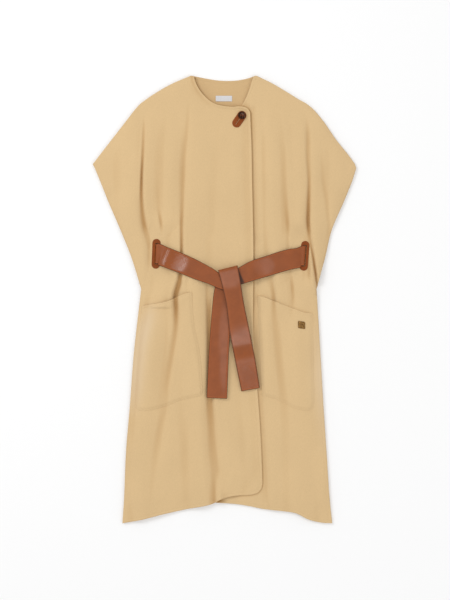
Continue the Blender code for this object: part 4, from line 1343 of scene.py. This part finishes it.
def front_border(side):
    """The border of a front: up its free edge, over neck and shoulder, and down the sleeve and side."""
    neck = NECK_FRONT[side] if side == LEFT else NECK_FRONT[side][::-1]
    hem = HEM_FRONT[side][::-1] if side == LEFT else HEM_FRONT[side]
    drops = np.linspace(hem[-1][1], neck[0][1], 12)
    edge = np.column_stack([free_edge(side, drops), drops])
    edge[0], edge[-1] = hem[-1], neck[0]
    runs = side_runs(side)
    return closed(edge, neck, (neck[-1], runs[0][0]), *runs, hem)


def slit_ends(side, length):
    middle, drop, lean = SLITS[side]
    return (middle + lean, drop - length / 2), (middle - lean, drop + length / 2)


def slit_border(side):
    """The slit's opening: its inner lip, and its outer side close to the belt's turn."""
    top, foot = slit_ends(side, SLIT_LENGTH)
    shifts = (-side * SLIT_WIDTH / 2, side * SLIT_OUTER[side])
    corners = zip((top, top, foot, foot), shifts + shifts[::-1])
    return polygon([(end[0] + shift, end[1]) for end, shift in corners])


def stadium(start, end, width, steps=14):
    """A border with two straight sides and two round ends, its ends' centres given."""
    start, end = np.array(start, float), np.array(end, float)
    along = (end - start) / np.linalg.norm(end - start)
    side = np.array((-along[1], along[0]))
    ring = []
    for centre, sign in ((end, 1), (start, -1)):
        for n in range(steps + 1):
            angle = np.pi * n / steps - np.pi / 2
            ring.append(centre + sign * width / 2 * (np.cos(angle) * along + np.sin(angle) * side))
    return polygon(ring, 2.0)


def buttonhole_border():
    start, end = np.array(BUTTONHOLE, float)
    along = (end - start) / np.linalg.norm(end - start)
    across = np.array((-along[1], along[0])) * BUTTONHOLE_GAP / 2
    low, high = end + along * BUTTONHOLE_ENDS[0], end - along * BUTTONHOLE_ENDS[1]
    return polygon([low + across, high + across, high - across, low - across], 1.2)


def trough_places(side):
    """Points along the troughs, close enough together to hold their shape."""
    places = []
    for line in TROUGHS[side]:
        drops = np.arange(line[0][0], line[-1][0], TROUGH_STEP)
        for share in TROUGH_SHARES:
            places.append(np.column_stack([curve(line, drops) + share * curve(line, drops, 3), drops]))
    return np.vstack(places)


def pocket_stitches(side, end, thread):
    """A row of small stitches round the sewn sides of a pocket, 3 mm in."""
    line = closed(*POCKETS[side][1:], pitch=2.0)
    line = line[nearest(line, np.array(POCKETS[side][0])) > 1]
    inner = inset(closed(*POCKETS[side]), POCKET_STITCHES)
    inner = inner[nearest(inner, line) < POCKET_STITCHES * 1.2]
    order = np.argsort([np.argmin(np.linalg.norm(line - spot, axis=1)) for spot in inner])
    path = on_sheet(inner[order], lambda out, drop: rest_pocket(side, out, drop) + CLOTH + THREAD_LIFT)
    stitches("thread_pocket_" + end, "pocket", [path], thread)


def cloth_pieces(cashmere, thread):
    beside = border_places()
    neck = lattice(np.array(((-NECK_HALF, 0), (NECK_HALF, 90))), PITCH)
    cloth(
        "cloth_back", "back", "floor", back_border(), level(0), back_shade, cashmere,
        pitch=BACK_PITCH, seam=SEAM_IN, extra=np.vstack([beside[beside[:, 1] < BACK_SHOWS], neck]),
    )
    for side, end in SIDES:
        def shades(out, drop, side=side):
            return front_shade(side, out, drop)

        def on_front(out, drop, side=side):
            return rest_pocket(side, out, drop)

        front = "cloth_front_" + end
        places = trough_places(side)
        under_edge = [] if side == RIGHT else [beside]
        cloth(
            front, "front_" + end, "cloth_back", front_border(side), REST[side], shades, cashmere,
            seam=SEAM_IN, holes=[slit_border(side)], extra=np.vstack([places] + under_edge),
        )
        border = closed(*POCKETS[side])
        cloth(
            "cloth_pocket_" + end, "pocket_" + end, front, border, on_front, shades, cashmere,
            pitch=POCKET_PITCH, seam=POCKET_SEAM, extra=places,
        )
        pocket_stitches(side, end, thread)


def leather_patch(name, node, border, rest, hole, pitch, leather, thread):
    """A leather patch on the coat, with a row of stitches round it.  Gives its upper side's height."""
    patch = shell(name, border, over(rest, LAYER), LEATHER, leather, "patch_leather", pitch, holes=[hole])
    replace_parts(patch, node)
    line = inset(border, PATCH_STITCHES)
    top = over(rest, LAYER + LEATHER)
    path = on_sheet(np.vstack([line, line[:1]]), top)
    stitches(name.replace("leather", "thread"), "patch", [path], thread)
    return top


def leather_patches(leather, thread):
    for side, end in SIDES:
        border = stadium(*slit_ends(side, PATCH_LENGTH - PATCH_WIDTH), PATCH_WIDTH)
        hole = slit_border(side)
        names = "leather_patch_" + end, "slit_patch_" + end
        leather_patch(*names, border, REST[side], hole, 2.2, leather, thread)
    border, hole = stadium(*BUTTONHOLE, BUTTONHOLE_WIDTH), buttonhole_border()
    names = "leather_buttonhole", "buttonhole_patch"
    top = leather_patch(*names, border, rest_right, hole, 2.0, leather, thread)
    line = inset(hole, SLOT_STITCHES)
    stitches("thread_buttonhole_edge", "slot", [on_sheet(np.vstack([line, line[:1]]), top)], thread)


def button(horn, thread):
    """A turned horn button with a raised rim and a dished middle, sewn on with thread in two rows."""
    out, drop = BUTTONHOLE[0]
    half = BUTTON_WIDTH / 2
    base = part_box("button")[0].z / MM
    profile = [(half - inward, height) for inward, height in BUTTON_FOOT]
    inward, wide, tall = BUTTON_RIM
    for angle in np.linspace(0.1, np.pi / 2, 6):
        height = BUTTON_THICK - tall + tall * np.sin(angle)
        profile.append((half - inward - wide * (1 - np.cos(angle)), height))
    profile += [(half - inward, BUTTON_THICK + height) for inward, height in BUTTON_DISH]
    points, faces = turned(profile, BUTTON_SIDES)
    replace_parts(add_piece("horn_button", points + to_world(out, drop, base), faces, horn), "button")
    across, reach, apart, tall = BUTTON_THREADS
    lines = []
    for shift in (-apart, 0, apart):
        for sign in (-1, 1):
            x = out + sign * across + shift * THREAD_LEAN
            path = trace([(x, drop + shift - reach), (x, drop + shift + reach)], 0.6)
            arch = np.sin(np.linspace(0, np.pi, len(path))) * tall
            lines.append(on_sheet(path, lambda out, drop: base + BUTTON_THICK - THREAD_LEVEL + arch))
    stitches("thread_button", "button", lines, thread)


def label(tape):
    """A blank woven neck label with a row of stitches at each end."""
    piece = shell("neck_label_tape", polygon(LABEL, 1.4), level(LAYER), LABEL_THICK, tape, "tape", 1.6)
    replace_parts(piece, "neck_label")
    lines = []
    inward, short = LABEL_STITCHES
    for out in (LABEL[0][0] + inward, LABEL[1][0] - inward):
        path = trace(((out, LABEL[0][1] + short), (out, LABEL[2][1] - short)), 1.0)
        lines.append(on_sheet(path, level(LAYER + LABEL_THICK)))
    stitches("thread_label", "label", lines, tape)


def plate(brass):
    """A plain metal plate with round corners, fixed to the pocket by two small dome-headed pins."""
    def on_pocket(out, drop):
        return rest_pocket(LEFT, out, drop) + LAYER

    corners = np.array(PLATE, float)
    ways = unit(np.roll(corners, -1, axis=0) - corners) * PLATE_CORNER
    ring = []
    for n, corner in enumerate(corners):
        start, end = corner - ways[n - 1], corner + ways[n]
        for t in np.linspace(0, 1, 6):
            ring.append((1 - t) ** 2 * start + 2 * t * (1 - t) * corner + t * t * end)
    piece = shell("brass_plate", polygon(ring, 1.2), on_pocket, PLATE_THICK, brass, "brass", 1.2)
    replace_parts(piece, "pocket_plate")
    middle = corners.mean(axis=0)
    wide, tall, foot = PIN
    dome = [(wide * np.cos(a), tall * np.sin(a)) for a in np.linspace(0, np.pi / 2 - 0.1, 6)]
    points, faces = turned([(wide, foot)] + dome, PIN_SIDES)
    for n, shift in enumerate((-PIN_SHIFT, PIN_SHIFT)):
        spot = (middle[0] + shift, middle[1] + shift / 6)
        place = to_world(*spot, float(on_pocket(*spot)) + PLATE_THICK)
        add_piece(f"brass_pin_{n + 1}", points + place, faces, brass)


# ---- scene


def camera():
    """Straight above, at the photograph's framing: 600 picture rows take in 1.5 metres."""
    data = bpy.data.cameras.new("camera")
    data.lens = 120
    data.sensor_width = 36
    data.sensor_fit = "AUTO"
    data.clip_end = 100
    piece = link("camera", data)
    piece.location = (HALF_PIXEL, -HALF_PIXEL, CAMERA_HEIGHT)
    bpy.context.scene.camera = piece


def area_light(name, place, size, power):
    """A round soft light that points at the coat's middle."""
    data = bpy.data.lights.new(name, "AREA")
    data.shape = "DISK"
    data.size = size
    data.energy = power
    piece = link(name, data)
    piece.location = place
    piece.rotation_euler = (-Vector(place)).to_track_quat("-Z", "Y").to_euler()
    return piece


def studio():
    """White surroundings, the floor and three soft lights: the belt mirrors the long one overhead."""
    world = bpy.data.worlds.new("studio")
    world.use_nodes = True
    background = world.node_tree.nodes["Background"]
    background.inputs["Color"].default_value = (1, 1, 1, 1)
    background.inputs["Strength"].default_value = WORLD
    bpy.context.scene.world = world
    bpy.context.scene.view_settings.view_transform = "Standard"
    for name, (place, size, power) in LIGHTS.items():
        light = area_light(name, place, size, power)
    light.data.shape = "ELLIPSE"
    light.data.size_y, turn = OVERHEAD
    light.rotation_euler = (0, 0, np.radians(turn))
    white = Nodes("pale_floor", FLOOR, Roughness=0.9, Specular_IOR_Level=0.1).material
    points, faces = turned([(FLOOR_REACH, foot) for foot in FLOOR_LEVELS], FLOOR_SIDES)
    add_mesh("floor", points, faces, white)


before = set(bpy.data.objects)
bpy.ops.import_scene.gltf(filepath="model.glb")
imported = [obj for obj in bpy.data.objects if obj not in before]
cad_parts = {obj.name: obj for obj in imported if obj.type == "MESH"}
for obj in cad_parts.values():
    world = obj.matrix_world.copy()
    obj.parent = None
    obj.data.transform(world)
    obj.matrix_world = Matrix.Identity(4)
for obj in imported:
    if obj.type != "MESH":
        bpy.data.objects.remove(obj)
cad_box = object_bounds()
MIDDLE = (cad_box[1].y - cad_box[0].y) / 2 / MM
camera()
studio()
tan_thread = woven_material("tan_thread", shade(TAN, 1.25))
cloth_pieces(cashmere_material(), woven_material("camel_thread", shade(CAMEL, 0.92)))
leather_patches(leather_material("dark_tan_leather", PATCH_TAN, 0.15), tan_thread)
stitches("thread_belt", "belt", belt(leather_material("tan_leather", TAN, 0.38)), tan_thread)
button(horn_material(), tan_thread)
label(woven_material("white_tape", TAPE))
plate(brass_material())
